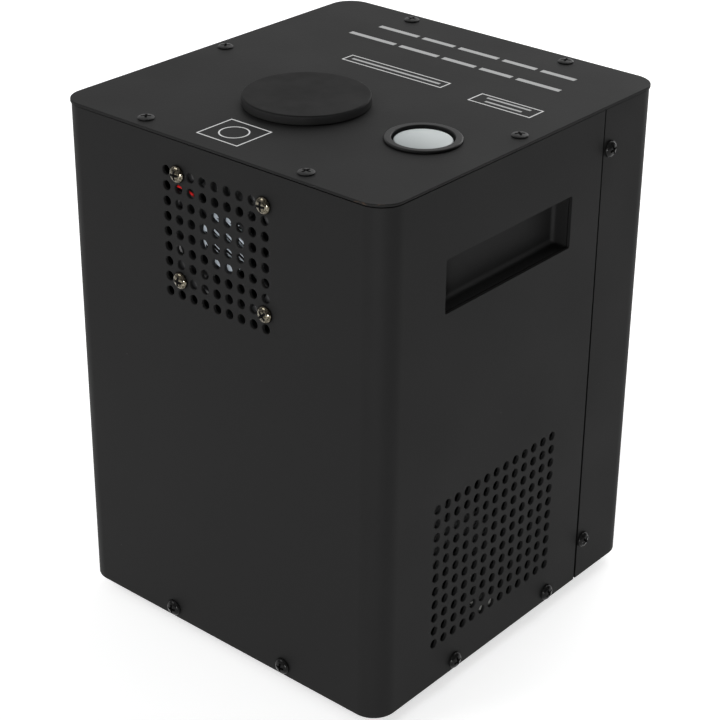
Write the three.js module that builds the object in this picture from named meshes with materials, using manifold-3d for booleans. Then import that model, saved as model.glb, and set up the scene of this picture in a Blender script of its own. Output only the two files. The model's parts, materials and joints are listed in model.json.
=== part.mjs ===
import * as THREE from 'three';
import { mergeVertices } from 'three/addons/utils/BufferGeometryUtils.js';
import Module from 'manifold-3d';

// Cold spark machine: a sheet-metal box that lifts hot metal granules up a barrel and out of its top.
// Millimetres. Up is +Z, the fan is on the front face at -Y, the control panel on the rear face at +Y.
// The hand openings are in the two side faces. The origin is on the floor, below the middle.

// Casing sheets
const caseWidth = 187;
const caseDepth = 195.6;
const shellHeight = 248;
const sheet = 1.5;
const cornerRadius = 11.8;
const coverDepth = 43.5;
const seamGap = 0.4;
const plateOverhang = 0.5;
const tabWidth = 22;
const tabReach = 8;
const panLip = 9.5;

// Clearances
const seatGap = 0.3;
const runGap = 0.6;
const overrun = 1;

// Feet
const footHeight = 8;
const footRadius = 10;
const footTaper = 1.5;
const footInset = 26;
const footStemRadius = 2.5;
const footStemRise = 5;
const footBarb = 1;

// Vents: round holes on a square grid, set by the screws of the fan
const fanScrewSpacing = 50;
const ventsPerScrewSpacing = 7;
const ventHole = 4.5;
const frontVentCount = 9;
const sideVentRows = 11;
const sideVentFromFront = 39.8;
const sideVentFromSeam = 26.6;
const sideVentFromBottom = 22.3;

// Hand openings and the pressed cups behind them
const gripFromFront = 40.2;
const gripFromSeam = 22.3;
const gripHeight = 25.2;
const gripDepth = 10;
const gripFromTop = 46.6;
const cupWall = 1.2;
const cupFlange = 6;

// Screws
const screwRadius = 2;
const panHeadRadius = 4;
const panHeadHeight = 2.4;
const flatHeadRadius = 4;
const flatHeadHeight = 1;
const shortShank = 6;
const topScrewInset = 7.1;
const topScrewSpread = 92.6;
const baseScrewRise = 5.2;
const frontScrewSpread = 70.5;
const frontScrewAside = 2;
const sideScrewFromFront = 55.35;
const sideScrewFromSeam = 24.25;
const coverScrewFromSeam = 5.1;
const coverScrewFromBottom = 21.4;
const coverScrewFromTop = 19.6;
const coverTabHeight = 18;
const coverTabRoot = 9;

// Fan
const fanSize = 60;
const fanDepth = 15;
const fanBore = 57;
const fanCorner = 3;
const fanAside = 4.3;
const fanFromTop = 41.7;
const fanMotorRadius = 14;
const fanBaseThickness = 2.2;
const fanStrutWidth = 3.4;
const fanStrutInset = 2.6;
const fanStrutAngle = 144;
const fanStrutCount = 4;
const fanBossRadius = 5;
const fanBossBore = 2.3;
const fanBossLength = 7.5;
const fanHubRadius = 13.5;
const fanHubWall = 1.3;
const fanBladeCount = 7;
const fanBladeChord = 11;
const fanBladeThickness = 1.3;
const fanBladePitch = 40;
const fanTipGap = 1;

// Fan lead, with its route given in the frame of the casing
const leadRadius = 0.8;
const leadSides = 6;
const leadSteps = 36;
const leadNotch = 3.2;

// Granule hopper and its cap
const fillAside = -7.5;
const feedFromFront = 67.3;
const hopperRadius = 24;
const hopperWall = 1.5;
const hopperSpoutLength = 11.5;
const hopperConeDepth = 28;
const spoutRadius = 7;
const capRadius = 28.8;
const capHeight = 4.2;
const capEdge = 1.2;
const capPlugDepth = 9;

// Spark outlet, its collar and the dust plug
const outletFromSide = 35;
const outletRadius = 13.6;
const collarRadius = 17;
const collarProud = 1.4;
const collarEdge = 0.6;
const collarWall = 1.5;
const collarSkirtDepth = 14;
const collarLedge = 1.5;
const collarLedgeBore = 11;
const plugRadius = 12.8;
const plugBodyRadius = 12;
const plugDome = 1;
const plugCrownShare = 0.75;
const plugBelowRim = 0.5;
const plugLip = 2;

// Spark barrel and its heater
const barrelRadius = 11.5;
const barrelWall = 1.2;
const barrelFlange = 26;
const barrelFlangeThickness = 2;
const heaterRadius = 15;
const heaterFromTop = 24;
const heaterAboveFeed = 21.5;
const jacketRadius = 20;
const jacketWall = 4;
const jacketEnd = 3;

// Granule feed
const feedAxisHeight = 128;
const feedTubeRadius = 7;
const feedTubeBore = 5.2;
const feedFlangeRadius = 14;
const feedFlangeThickness = 2;
const feedBlockSize = 22;
const feedBlockRise = 16;
const feedDropRadius = 4;
const augerRadius = 4.6;
const augerShaftRadius = 1.9;
const augerPitch = 12;
const augerStepsPerTurn = 8;
const augerThreadAngle = 70;
const augerJournal = 8;
const feedMotorRadius = 14;
const feedMotorLength = 25;
const gearboxSize = 34;
const gearboxLength = 18;
const bracketFromSide = 55.5;
const bracketThickness = 2;
const bracketWidth = 48;
const bracketRise = 22;
const bracketFoot = 20;

// Blower
const blowerInnerRadius = 26;
const blowerWall = 1.5;
const blowerDuct = 18;
const blowerDuctRise = 16;
const blowerPad = 3;
const blowerPadWidth = 12;
const blowerEyeRadius = 15;
const blowerMotorRadius = 16;
const blowerMotorDepth = 9;
const axleRadius = 2.5;
const axleLength = 9;
const wheelRadius = 22.5;
const wheelEyeRadius = 17;
const wheelWidth = 12;
const wheelPlate = 1.2;
const wheelHubRadius = 6;
const wheelBladeCount = 14;
const wheelSideGap = 1.6;

// Power supply
const supplyWidth = 98;
const supplyDepth = 40;
const supplyHeight = 36;
const supplyAside = -14;
const supplyBehindMiddle = 42;
const terminalHeight = 12;
const terminalDepth = 14;

// Control panel
const displayWidth = 66;
const displayHeight = 30;
const displayFromTop = 43;
const displayBorder = 7;
const displayProud = 2;
const windowThickness = 1.2;
const windowLedge = 2;
const buttonRadius = 4.4;
const buttonProud = 2;
const buttonFlange = 1.4;
const buttonFlangeThickness = 1;
const buttonStemRadius = 1.8;
const buttonTravel = 0.8;
const buttonSpacing = 18;
const buttonCount = 4;
const buttonsFromTop = 71;
const boardWidth = 118;
const boardHeight = 66;
const boardFromTop = 54;
const boardThickness = 1.6;
const boardStandoff = 12;
const postRadius = 3;
const postInset = 5;
const switchSize = 6;
const switchHeight = 5;
const moduleGap = 1;
const plugBlock = 10;

// Signal sockets
const socketWidth = 26;
const socketHeight = 31;
const socketProud = 2.2;
const socketBodyRadius = 11.8;
const socketBodyDepth = 20;
const socketBore = 9.6;
const socketBoreDepth = 14;
const socketSpread = 68;
const socketLift = 5.5;
const socketPinRadius = 1.2;
const socketPinLength = 9;
const socketPinCircle = 4.8;
const socketInsertRadius = 7.4;
const socketPinCount = 3;

// Mains inlet with its fuse drawer
const inletWidth = 34;
const inletHeight = 44;
const inletProud = 2.4;
const inletBodyWidth = 27;
const inletBodyHeight = 36;
const inletBodyDepth = 24;
const inletAside = 38;
const inletRise = 50;
const inletRecessWidth = 24;
const inletRecessHeight = 16.5;
const inletRecessDepth = 17;
const inletRecessRise = 6.5;
const bladeWidth = 2;
const bladeHeight = 4.5;
const bladeLength = 11;
const bladeSpread = 7;
const bladeStep = 3.5;
const drawerWidth = 22;
const drawerHeight = 8;
const drawerDepth = 16;
const drawerDrop = 10;
const drawerLip = 1;

// Power rocker
const rockerFrameWidth = 22;
const rockerFrameHeight = 30;
const rockerFrameProud = 2;
const rockerBodyWidth = 19;
const rockerBodyHeight = 26.5;
const rockerBodyDepth = 16;
const rockerWidth = 15;
const rockerLength = 21.5;
const rockerSide = 2;
const rockerCrown = 2.2;
const rockerKeel = 5;
const rockerPivotDepth = 2;
const rockerWellDepth = 10;
const rockerTilt = 10;
const rockerAside = -38;
const trunnionRadius = 1.2;
const trunnionLength = 1.2;

// Facets
const wideSides = 24;
const roundSides = 16;
const smallSides = 8;
const holeSides = 8;
const ventSides = 4;
const cornerSteps = 2;

// Finishes
const powderBlack = new THREE.MeshStandardMaterial({ color: 0x29292b, roughness: 0.62, metalness: 0.1 });
const blackPlastic = new THREE.MeshStandardMaterial({ color: 0x1d1d1e, roughness: 0.5, metalness: 0 });
const blackZinc = new THREE.MeshStandardMaterial({ color: 0x151515, roughness: 0.3, metalness: 0.8 });
const nickel = new THREE.MeshStandardMaterial({ color: 0xb9b09c, roughness: 0.25, metalness: 1 });
const steel = new THREE.MeshStandardMaterial({ color: 0x9a9c9e, roughness: 0.35, metalness: 1 });
const blackRubber = new THREE.MeshStandardMaterial({ color: 0x161616, roughness: 0.85, metalness: 0 });
const whitePlastic = new THREE.MeshStandardMaterial({ color: 0xdfe4e4, roughness: 0.55, metalness: 0 });
const insulation = new THREE.MeshStandardMaterial({ color: 0xcfc8b8, roughness: 0.9, metalness: 0 });
const boardGreen = new THREE.MeshStandardMaterial({ color: 0x1d5a36, roughness: 0.6, metalness: 0 });
const smokedPane = new THREE.MeshStandardMaterial({ color: 0x0c0d10, roughness: 0.1, metalness: 0 });
const redLead = new THREE.MeshStandardMaterial({ color: 0xb01c18, roughness: 0.5, metalness: 0 });

const library = await Module();
library.setup();

// A solid from a closed geometry: shared corners are merged and triangles without area are dropped
function solid(geometry) {
  const bare = geometry.clone();
  bare.deleteAttribute('normal');
  bare.deleteAttribute('uv');
  const merged = mergeVertices(bare);
  const corners = merged.index.array;
  const kept = [];
  for (let at = 0; at < corners.length; at += 3) {
    const [a, b, c] = [corners[at], corners[at + 1], corners[at + 2]];
    if (a !== b && b !== c && c !== a) kept.push(a, b, c);
  }
  return new library.Manifold(new library.Mesh({
    numProp: 3,
    vertProperties: merged.attributes.position.array,
    triVerts: new Uint32Array(kept),
  }));
}

// The geometry of a finished solid
function geometryOf(shape) {
  const mesh = shape.getMesh();
  const geometry = new THREE.BufferGeometry();
  geometry.setAttribute('position', new THREE.BufferAttribute(mesh.vertProperties, 3));
  geometry.setIndex(new THREE.BufferAttribute(mesh.triVerts, 1));
  return geometry;
}

// A box between two values on each axis
function block(x0, x1, y0, y1, z0, z1) {
  const box = new THREE.BoxGeometry(x1 - x0, y1 - y0, z1 - z0);
  return solid(box.translate((x0 + x1) / 2, (y0 + y1) / 2, (z0 + z1) / 2));
}

// A rectangle with round corners, centred, as an outline
function roundedRect(width, height, radius) {
  const [x, y] = [width / 2 - radius, height / 2 - radius];
  const outline = new THREE.Shape();
  outline.absarc(x, y, radius, 0, Math.PI / 2);
  outline.absarc(-x, y, radius, Math.PI / 2, Math.PI);
  outline.absarc(-x, -y, radius, Math.PI, 1.5 * Math.PI);
  outline.absarc(x, -y, radius, 1.5 * Math.PI, 2 * Math.PI);
  return outline;
}

// A regular outline with its corners on a circle
function ring(radius, sides, x = 0, y = 0) {
  const corners = [];
  for (let side = 0; side < sides; side += 1) {
    const angle = (side + 0.5) * 2 * Math.PI / sides;
    corners.push(new THREE.Vector2(x + radius * Math.cos(angle), y + radius * Math.sin(angle)));
  }
  return new THREE.Shape(corners);
}

// A hole's outline has its flats on the circle, so that a round piece of that radius passes
function hole(radius, sides, x = 0, y = 0) {
  return ring(radius / Math.cos(Math.PI / sides), sides, x, y);
}

// Outlines extruded upwards between two heights, along +Y between two depths, or along +X.
// Upright outlines give X and Z, sideways ones give Y and Z.
function prism(outlines, z0, z1) {
  const settings = { depth: z1 - z0, bevelEnabled: false, curveSegments: cornerSteps };
  return new THREE.ExtrudeGeometry(outlines, settings).translate(0, 0, z0);
}

function flat(outlines, z0, z1) {
  return solid(prism(outlines, z0, z1));
}

function upright(outlines, y0, y1) {
  return solid(prism(outlines, -y1, -y0).rotateX(Math.PI / 2));
}

function sideways(outlines, x0, x1) {
  return solid(prism(outlines, x0, x1).rotateX(Math.PI / 2).rotateZ(Math.PI / 2));
}

// A solid turned about the Z axis from a profile of radius and height.
// A profile that doesn't reach the axis closes on itself.
function turned(profile, sides = roundSides) {
  const points = profile.map(([radius, height]) => new THREE.Vector2(radius, height));
  if (profile[0][0] > 0) points.push(points[0].clone());
  return solid(new THREE.LatheGeometry(points, sides).rotateX(Math.PI / 2));
}

function cutAll(body, cutters) {
  return cutters.reduce((rest, cutter) => rest.subtract(cutter), body);
}

function joinAll(bodies) {
  return bodies.reduce((sum, next) => sum.add(next));
}

// Names the piece and puts it in its group
function add(group, name, shape, material, x = 0, y = 0, z = 0) {
  const mesh = new THREE.Mesh(geometryOf(shape), material);
  mesh.name = name;
  mesh.position.set(x, y, z);
  group.add(mesh);
  return mesh;
}

const machine = new THREE.Group();
const casing = new THREE.Group();
casing.position.z = footHeight + seatGap;
machine.add(casing);

// Faces and levels of the casing, in its own frame: the lower edge of the shell is at height 0
const sideFace = caseWidth / 2;
const frontFace = -caseDepth / 2;
const rearFace = caseDepth / 2;
const seam = rearFace - coverDepth;
const plateBottom = shellHeight + seatGap;
const plateTop = plateBottom + sheet;
const screwHole = screwRadius + seatGap;
const innerLayer = sheet + seatGap;
const ventPitch = fanScrewSpacing / ventsPerScrewSpacing;
const fanHeight = plateTop - fanFromTop;
const gripWidth = seam - frontFace - gripFromFront - gripFromSeam;
const gripMiddle = frontFace + gripFromFront + gripWidth / 2;
const gripRise = shellHeight - gripFromTop;
const feedLine = frontFace + feedFromFront;
const topScrewX = sideFace - topScrewInset;
const topScrewY = rearFace - topScrewInset;
const coverScrewY = seam + coverScrewFromSeam;
const collarSkirtRadius = outletRadius + collarWall;
const outletAside = sideFace - outletFromSide;
const bracketAside = bracketFromSide - sideFace;
const displayRise = shellHeight - displayFromTop;
const buttonRise = shellHeight - buttonsFromTop;
const boardRise = shellHeight - boardFromTop;

// The signal sockets stand a little above the middle of the space between inlet and board
const inletTop = inletRise + inletHeight / 2;
const boardBottom = boardRise - boardHeight / 2;
const socketRise = (inletTop + boardBottom) / 2 + socketLift;

// Places of the screws: three pairs in the top plate, pairs low on the faces, pairs in the cover
const topScrews = [
  [-topScrewSpread / 2, -topScrewY], [topScrewSpread / 2, -topScrewY],
  [-topScrewX, 0], [topScrewX, 0],
  [-topScrewSpread / 2, topScrewY], [topScrewSpread / 2, topScrewY],
];
const frontBaseScrews = [-1, 1].map((side) => frontScrewAside + side * frontScrewSpread / 2);
const sideBaseScrews = [frontFace + sideScrewFromFront, seam - sideScrewFromSeam];
const fanScrews = [[-1, 1], [1, 1], [-1, -1], [1, -1]].map(([x, z]) => [
  fanAside + x * fanScrewSpacing / 2,
  fanHeight + z * fanScrewSpacing / 2,
]);

// Holes through both side walls at once, and through the front wall
function sideHole(outline) {
  return sideways(outline, -sideFace - overrun, sideFace + overrun);
}

function frontHole(outline) {
  return upright(outline, frontFace - overrun, frontFace + sheet + innerLayer + overrun);
}

// The wrap that both shells are cut from
const wrap = flat(roundedRect(caseWidth, caseDepth, cornerRadius), 0, shellHeight)
  .subtract(flat(
    roundedRect(caseWidth - 2 * sheet, caseDepth - 2 * sheet, cornerRadius - sheet),
    -overrun,
    shellHeight + overrun,
  ));

// A flange under the top plate at one screw, rooted in the wall that it was bent from
function topTab(x, y) {
  const bottom = shellHeight - sheet;
  if (y === 0) {
    const inner = Math.abs(x) - tabReach;
    const outer = sideFace - sheet / 2;
    const [x0, x1] = x < 0 ? [-outer, -inner] : [inner, outer];
    return block(x0, x1, -tabWidth / 2, tabWidth / 2, bottom, shellHeight);
  }
  const inner = Math.abs(y) - tabReach;
  const outer = rearFace - sheet / 2;
  const [y0, y1] = y < 0 ? [-outer, -inner] : [inner, outer];
  return block(x - tabWidth / 2, x + tabWidth / 2, y0, y1, bottom, shellHeight);
}

function topScrewHole([x, y]) {
  return flat(hole(screwHole, holeSides, x, y), shellHeight - sheet - overrun, plateTop + overrun);
}

// The front shell's tab behind the seam, which takes a screw of the rear cover
function coverTab(side, height) {
  const wall = sideFace - sheet;
  const [z0, z1] = [height - coverTabHeight / 2, height + coverTabHeight / 2];
  const tabStart = seam - coverTabRoot;
  const tabEnd = coverScrewY + tabReach;
  const xs = (from, to) => (side < 0 ? [-to, -from] : [from, to]);
  const root = block(...xs(wall - innerLayer, wall + sheet / 2), tabStart, seam - seamGap, z0, z1);
  return root.add(block(...xs(wall - innerLayer, wall - seatGap), tabStart, tabEnd, z0, z1));
}

const coverScrewHeights = [coverScrewFromBottom, shellHeight - coverScrewFromTop];
const coverTabs = [-1, 1].flatMap((side) => coverScrewHeights.map((height) => coverTab(side, height)));
const coverScrewCuts = coverScrewHeights.map((height) => sideHole(
  hole(screwHole, holeSides, coverScrewY, height),
));

// Vents. The fan's screws take four places of the front one.
const screwRows = [frontVentCount - ventsPerScrewSpacing - 1, frontVentCount - 1];
const frontVent = [];
for (let column = 0; column < frontVentCount; column += 1) {
  for (let row = 0; row < frontVentCount; row += 1) {
    const x = fanAside + (column - frontVentCount / 2) * ventPitch;
    const z = fanHeight + (row - frontVentCount / 2) * ventPitch;
    const takenByScrew = screwRows.includes(column) && screwRows.includes(row);
    if (!takenByScrew) frontVent.push(ring(ventHole / 2, ventSides, x, z));
  }
}
const sideVentDepth = seam - frontFace - sideVentFromFront - sideVentFromSeam;
const sideVentColumns = 1 + Math.round(sideVentDepth / ventPitch);
const sideVent = [];
for (let column = 0; column < sideVentColumns; column += 1) {
  for (let row = 0; row < sideVentRows; row += 1) {
    const y = frontFace + sideVentFromFront + column * ventPitch;
    sideVent.push(ring(ventHole / 2, ventSides, y, sideVentFromBottom + row * ventPitch));
  }
}

// Front shell: one sheet that makes the front and both sides
const gripOutline = block(
  -sideFace - overrun, sideFace + overrun,
  gripMiddle - gripWidth / 2, gripMiddle + gripWidth / 2,
  gripRise - gripHeight / 2, gripRise + gripHeight / 2,
);
const frontHalf = wrap.subtract(
  block(-caseWidth, caseWidth, seam, caseDepth, -overrun, shellHeight + overrun),
);
const frontTabs = topScrews.filter(([, y]) => y <= 0).map(([x, y]) => topTab(x, y));
const frontShell = cutAll(joinAll([frontHalf, ...frontTabs, ...coverTabs]), [
  ...topScrews.filter(([, y]) => y <= 0).map(topScrewHole),
  ...coverScrewCuts,
  ...frontBaseScrews.map((x) => frontHole(hole(screwHole, holeSides, x, baseScrewRise))),
  ...sideBaseScrews.map((y) => sideHole(hole(screwHole, holeSides, y, baseScrewRise))),
  ...fanScrews.map(([x, z]) => frontHole(hole(screwHole, holeSides, x, z))),
  gripOutline,
  frontHole(frontVent),
  sideHole(sideVent),
]);
add(casing, 'front_shell', frontShell, powderBlack);

// Rear cover: the rear face and its two side returns, with the cutouts of the control panel
function rearHole(outline) {
  return upright(outline, rearFace - sheet - overrun, rearFace + overrun);
}

function rearWindow(x, z, width, height) {
  return block(
    x - width / 2, x + width / 2,
    rearFace - sheet - overrun, rearFace + overrun,
    z - height / 2, z + height / 2,
  );
}

const buttonPlaces = [];
for (let button = 0; button < buttonCount; button += 1) {
  buttonPlaces.push((button - (buttonCount - 1) / 2) * buttonSpacing);
}
const socketPlaces = [socketSpread / 2, -socketSpread / 2];
const displayCutoutWidth = displayWidth - displayBorder;
const displayCutoutHeight = displayHeight - displayBorder;
const rearHalf = wrap.subtract(
  block(-caseWidth, caseWidth, -caseDepth, seam + seamGap, -overrun, shellHeight + overrun),
);
const rearTabs = topScrews.filter(([, y]) => y > 0).map(([x, y]) => topTab(x, y));
const rearCover = cutAll(joinAll([rearHalf, ...rearTabs]), [
  ...topScrews.filter(([, y]) => y > 0).map(topScrewHole),
  ...coverScrewCuts,
  rearWindow(0, displayRise, displayCutoutWidth + 2 * seatGap, displayCutoutHeight + 2 * seatGap),
  rearWindow(inletAside, inletRise, inletBodyWidth + 2 * seatGap, inletBodyHeight + 2 * seatGap),
  rearWindow(rockerAside, inletRise, rockerBodyWidth + 2 * seatGap, rockerBodyHeight + 2 * seatGap),
  ...buttonPlaces.map((x) => rearHole(hole(buttonRadius + seatGap, holeSides, x, buttonRise))),
  ...socketPlaces.map((x) => rearHole(hole(socketBodyRadius + 2 * seatGap, roundSides, x, socketRise))),
]);
add(casing, 'rear_cover', rearCover, powderBlack);

// Top plate, with the openings of the hopper and the spark outlet
const plateWidth = caseWidth + 2 * plateOverhang;
const plateDepth = caseDepth + 2 * plateOverhang;
const plateOutline = roundedRect(plateWidth, plateDepth, cornerRadius + plateOverhang);
const fillerHole = hole(hopperRadius + 2 * seatGap, wideSides, fillAside, feedLine);
const outletHole = hole(collarSkirtRadius + 2 * seatGap, wideSides, outletAside, feedLine);
const topPlate = cutAll(flat(plateOutline, plateBottom, plateTop), [
  ...topScrews.map(topScrewHole),
  flat([fillerHole, outletHole], shellHeight, plateTop + overrun),
]);
add(casing, 'top_plate', topPlate, powderBlack);

// Base pan: a shallow tray inside the lower edge of both shells
const panWidth = caseWidth - 2 * innerLayer;
const panDepth = caseDepth - 2 * innerLayer;
const panRadius = cornerRadius - innerLayer;
const footX = sideFace - footInset;
const footY = rearFace - footInset;
const feet = [[-footX, -footY], [footX, -footY], [-footX, footY], [footX, footY]];
const panHollow = roundedRect(panWidth - 2 * sheet, panDepth - 2 * sheet, panRadius - sheet);
const stemHoles = feet.map(([x, y]) => hole(footStemRadius + seatGap, holeSides, x, y));
const basePan = cutAll(flat(roundedRect(panWidth, panDepth, panRadius), 0, panLip), [
  flat(panHollow, sheet, panLip + overrun),
  flat(stemHoles, -overrun, sheet + overrun),
  ...frontBaseScrews.map((x) => frontHole(hole(screwHole, holeSides, x, baseScrewRise))),
  ...sideBaseScrews.map((y) => sideHole(hole(screwHole, holeSides, y, baseScrewRise))),
]);
add(casing, 'base_pan', basePan, powderBlack);

// Feet: rubber, pushed through the pan and held by a barb on the stem
const foot = turned([
  [0, -footHeight],
  [footRadius - footTaper, -footHeight],
  [footRadius, 0],
  [footStemRadius, 0],
  [footStemRadius, sheet + 2 * seatGap],
  [footStemRadius + footBarb, sheet + 2 * seatGap],
  [footStemRadius, footStemRise],
  [0, footStemRise],
]);
feet.forEach(([x, y], index) => add(casing, `foot_${index + 1}`, foot, blackRubber, x, y, -seatGap));

// Hand cups: pressed boxes with a flange, behind the openings in the sides.
// Each is made about the middle of its opening, with the inner face of the shell at X 0.
function outwardBlock(side, x0, x1, halfWidth, halfHeight) {
  const [from, to] = side < 0 ? [-x1, -x0] : [x0, x1];
  return block(from, to, -halfWidth, halfWidth, -halfHeight, halfHeight);
}

function handleCup(side) {
  const back = sheet - gripDepth;
  const [halfWidth, halfHeight] = [gripWidth / 2, gripHeight / 2];
  const front = -seatGap;
  const bowl = outwardBlock(side, back - cupWall, front, halfWidth + cupWall, halfHeight + cupWall);
  const rim = outwardBlock(side, front - cupWall, front, halfWidth + cupFlange, halfHeight + cupFlange);
  return bowl.add(rim).subtract(outwardBlock(side, back, overrun, halfWidth, halfHeight));
}

add(casing, 'handle_cup_right', handleCup(1), powderBlack, sideFace - sheet, gripMiddle, gripRise);
add(casing, 'handle_cup_left', handleCup(-1), powderBlack, sheet - sideFace, gripMiddle, gripRise);

// Screws: a shank below the seat and a head above it, turned to face outwards
function screwShape(headRadius, headHeight, crown, shank) {
  return turned([
    [0, -shank],
    [screwRadius, -shank],
    [screwRadius, 0],
    [headRadius, 0],
    [headRadius, headHeight - crown],
    [headRadius / 2 + crown, headHeight],
    [0, headHeight],
  ], smallSides);
}

const panScrew = screwShape(panHeadRadius, panHeadHeight, panHeadHeight / 2, shortShank);
const longShank = sheet + fanDepth + shortShank / 2;
const fanScrewShape = screwShape(panHeadRadius, panHeadHeight, panHeadHeight / 2, longShank);
const topScrewShape = screwShape(flatHeadRadius, flatHeadHeight, flatHeadHeight / 2, shortShank);

topScrews.forEach(([x, y], index) => {
  add(casing, `top_screw_${index + 1}`, topScrewShape, blackZinc, x, y, plateTop + seatGap);
});
frontBaseScrews.forEach((x, index) => {
  const name = `base_screw_${index + 1}`;
  add(casing, name, panScrew, blackZinc, x, frontFace - seatGap, baseScrewRise).rotation.x = Math.PI / 2;
});
[-1, 1].forEach((side, sideIndex) => {
  const outside = side * (sideFace + seatGap);
  sideBaseScrews.forEach((y, index) => {
    const name = `base_screw_${frontBaseScrews.length + 2 * sideIndex + index + 1}`;
    add(casing, name, panScrew, blackZinc, outside, y, baseScrewRise).rotation.y = side * Math.PI / 2;
  });
  coverScrewHeights.forEach((height, index) => {
    const name = `cover_screw_${2 * sideIndex + index + 1}`;
    add(casing, name, panScrew, blackZinc, outside, coverScrewY, height).rotation.y = side * Math.PI / 2;
  });
});
fanScrews.forEach(([x, z], index) => {
  const name = `fan_screw_${index + 1}`;
  add(casing, name, fanScrewShape, nickel, x, frontFace - seatGap, z).rotation.x = Math.PI / 2;
});

// Fan, about its own axis: its front face is at Y 0 and the air goes along Y
const fan = new THREE.Group();
fan.position.set(fanAside, frontFace + innerLayer, fanHeight);
casing.add(fan);

function aboutFanAxis(body, degrees) {
  return body.rotate([0, -degrees, 0]);
}

const fanFront = fanStrutInset + fanBaseThickness;
const fanStrut = block(
  fanMotorRadius / 2, (fanBore + fanSize) / 4,
  fanStrutInset, fanFront,
  -fanStrutWidth / 2, fanStrutWidth / 2,
);
const fanStruts = [];
for (let strut = 0; strut < fanStrutCount; strut += 1) {
  fanStruts.push(aboutFanAxis(fanStrut, fanStrutAngle + strut * 360 / fanStrutCount));
}
const strutAngle = THREE.MathUtils.degToRad(fanStrutAngle);
const notchHeight = fanBore / 2 * Math.sin(strutAngle);
const fanFrame = cutAll(
  joinAll([
    upright(roundedRect(fanSize, fanSize, fanCorner), 0, fanDepth).subtract(
      upright(hole(fanBore / 2, roundSides), -overrun, fanDepth + overrun),
    ),
    upright(ring(fanMotorRadius, roundSides), fanStrutInset, fanFront),
    upright(ring(fanBossRadius, holeSides), fanStrutInset, fanFront + fanBossLength),
    ...fanStruts,
  ]),
  [
    upright(hole(fanBossBore, holeSides), fanFront, fanDepth),
    ...fanScrews.map(([x, z]) => upright(
      hole(screwHole, holeSides, x - fanAside, z - fanHeight), -overrun, fanDepth + overrun,
    )),
    block(
      -fanSize / 2 - overrun, fanBore / 2 * Math.cos(strutAngle) + overrun,
      -overrun, fanStrutInset,
      notchHeight - leadNotch / 2, notchHeight + leadNotch / 2,
    ),
  ],
);
add(fan, 'fan_frame', fanFrame, blackPlastic);

// Fan rotor: a cup on a shaft, with pitched blades
const hubFront = fanFront + runGap;
const hubRear = fanDepth - runGap;
const bladeMiddle = (hubFront + hubRear) / 2;
const bladeRoot = fanHubRadius - fanHubWall / 2;
const bladeTip = fanBore / 2 - fanTipGap;
const fanBlade = block(
  bladeRoot, bladeTip,
  -fanBladeThickness / 2, fanBladeThickness / 2,
  -fanBladeChord / 2, fanBladeChord / 2,
).rotate([90 - fanBladePitch, 0, 0]).translate([0, bladeMiddle, 0]);
const fanBlades = [];
for (let blade = 0; blade < fanBladeCount; blade += 1) {
  fanBlades.push(aboutFanAxis(fanBlade, blade * 360 / fanBladeCount));
}
const hubCup = upright(ring(fanHubRadius, roundSides), hubFront, hubRear)
  .subtract(upright(ring(fanHubRadius - fanHubWall, roundSides), 0, hubRear - fanHubWall));
const fanRotor = joinAll([
  hubCup,
  upright(ring(fanBossBore - seatGap, holeSides), fanFront + runGap, hubRear - fanHubWall / 2),
  ...fanBlades,
]);
add(fan, 'fan_rotor', fanRotor, blackPlastic);

// Spark outlet: a collar through the top plate, and a plug that keeps dust out in storage
const outlet = new THREE.Group();
outlet.position.set(outletAside, feedLine, plateTop);
casing.add(outlet);
const collar = turned([
  [outletRadius, -collarSkirtDepth + collarLedge],
  [collarLedgeBore, -collarSkirtDepth + collarLedge],
  [collarLedgeBore, -collarSkirtDepth],
  [collarSkirtRadius, -collarSkirtDepth],
  [collarSkirtRadius, seatGap],
  [collarRadius, seatGap],
  [collarRadius, collarProud - collarEdge],
  [collarRadius - collarEdge, collarProud],
  [outletRadius + collarEdge, collarProud],
  [outletRadius, collarProud - collarEdge],
], wideSides);
add(outlet, 'outlet_collar', collar, blackPlastic);
const plugRim = collarProud - plugBelowRim;
const plugFoot = collarLedge + seatGap - collarSkirtDepth;
const dustPlug = turned([
  [0, plugFoot],
  [plugBodyRadius, plugFoot],
  [plugBodyRadius, plugRim - 2 * plugLip],
  [plugRadius, plugRim - plugLip],
  [plugRadius, plugRim - plugDome / 2],
  [plugRadius - plugDome, plugRim],
  [plugRadius / 2, plugRim + plugDome * plugCrownShare],
  [0, plugRim + plugDome],
], wideSides);
add(outlet, 'dust_plug', dustPlug, whitePlastic);

// Hopper and its push-in cap
const filler = new THREE.Group();
filler.position.set(fillAside, feedLine, 0);
casing.add(filler);
const spoutBottom = feedAxisHeight + feedTubeRadius + seatGap;
const coneBottom = spoutBottom + hopperSpoutLength;
const coneTop = coneBottom + hopperConeDepth;
const hopper = turned([
  [spoutRadius - hopperWall, spoutBottom],
  [spoutRadius, spoutBottom],
  [spoutRadius, coneBottom],
  [hopperRadius, coneTop],
  [hopperRadius, plateTop],
  [hopperRadius - hopperWall, plateTop],
  [hopperRadius - hopperWall, coneTop],
  [spoutRadius - hopperWall, coneBottom],
], wideSides);
add(filler, 'hopper', hopper, steel);
const fillCap = turned([
  [0, -capPlugDepth],
  [hopperRadius - hopperWall - runGap, -capPlugDepth],
  [hopperRadius - hopperWall - runGap, 0],
  [capRadius, 0],
  [capRadius, capHeight - capEdge],
  [capRadius - capEdge, capHeight],
  [0, capHeight],
], wideSides);
add(filler, 'fill_cap', fillCap, blackPlastic, 0, 0, plateTop + seatGap);

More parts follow.
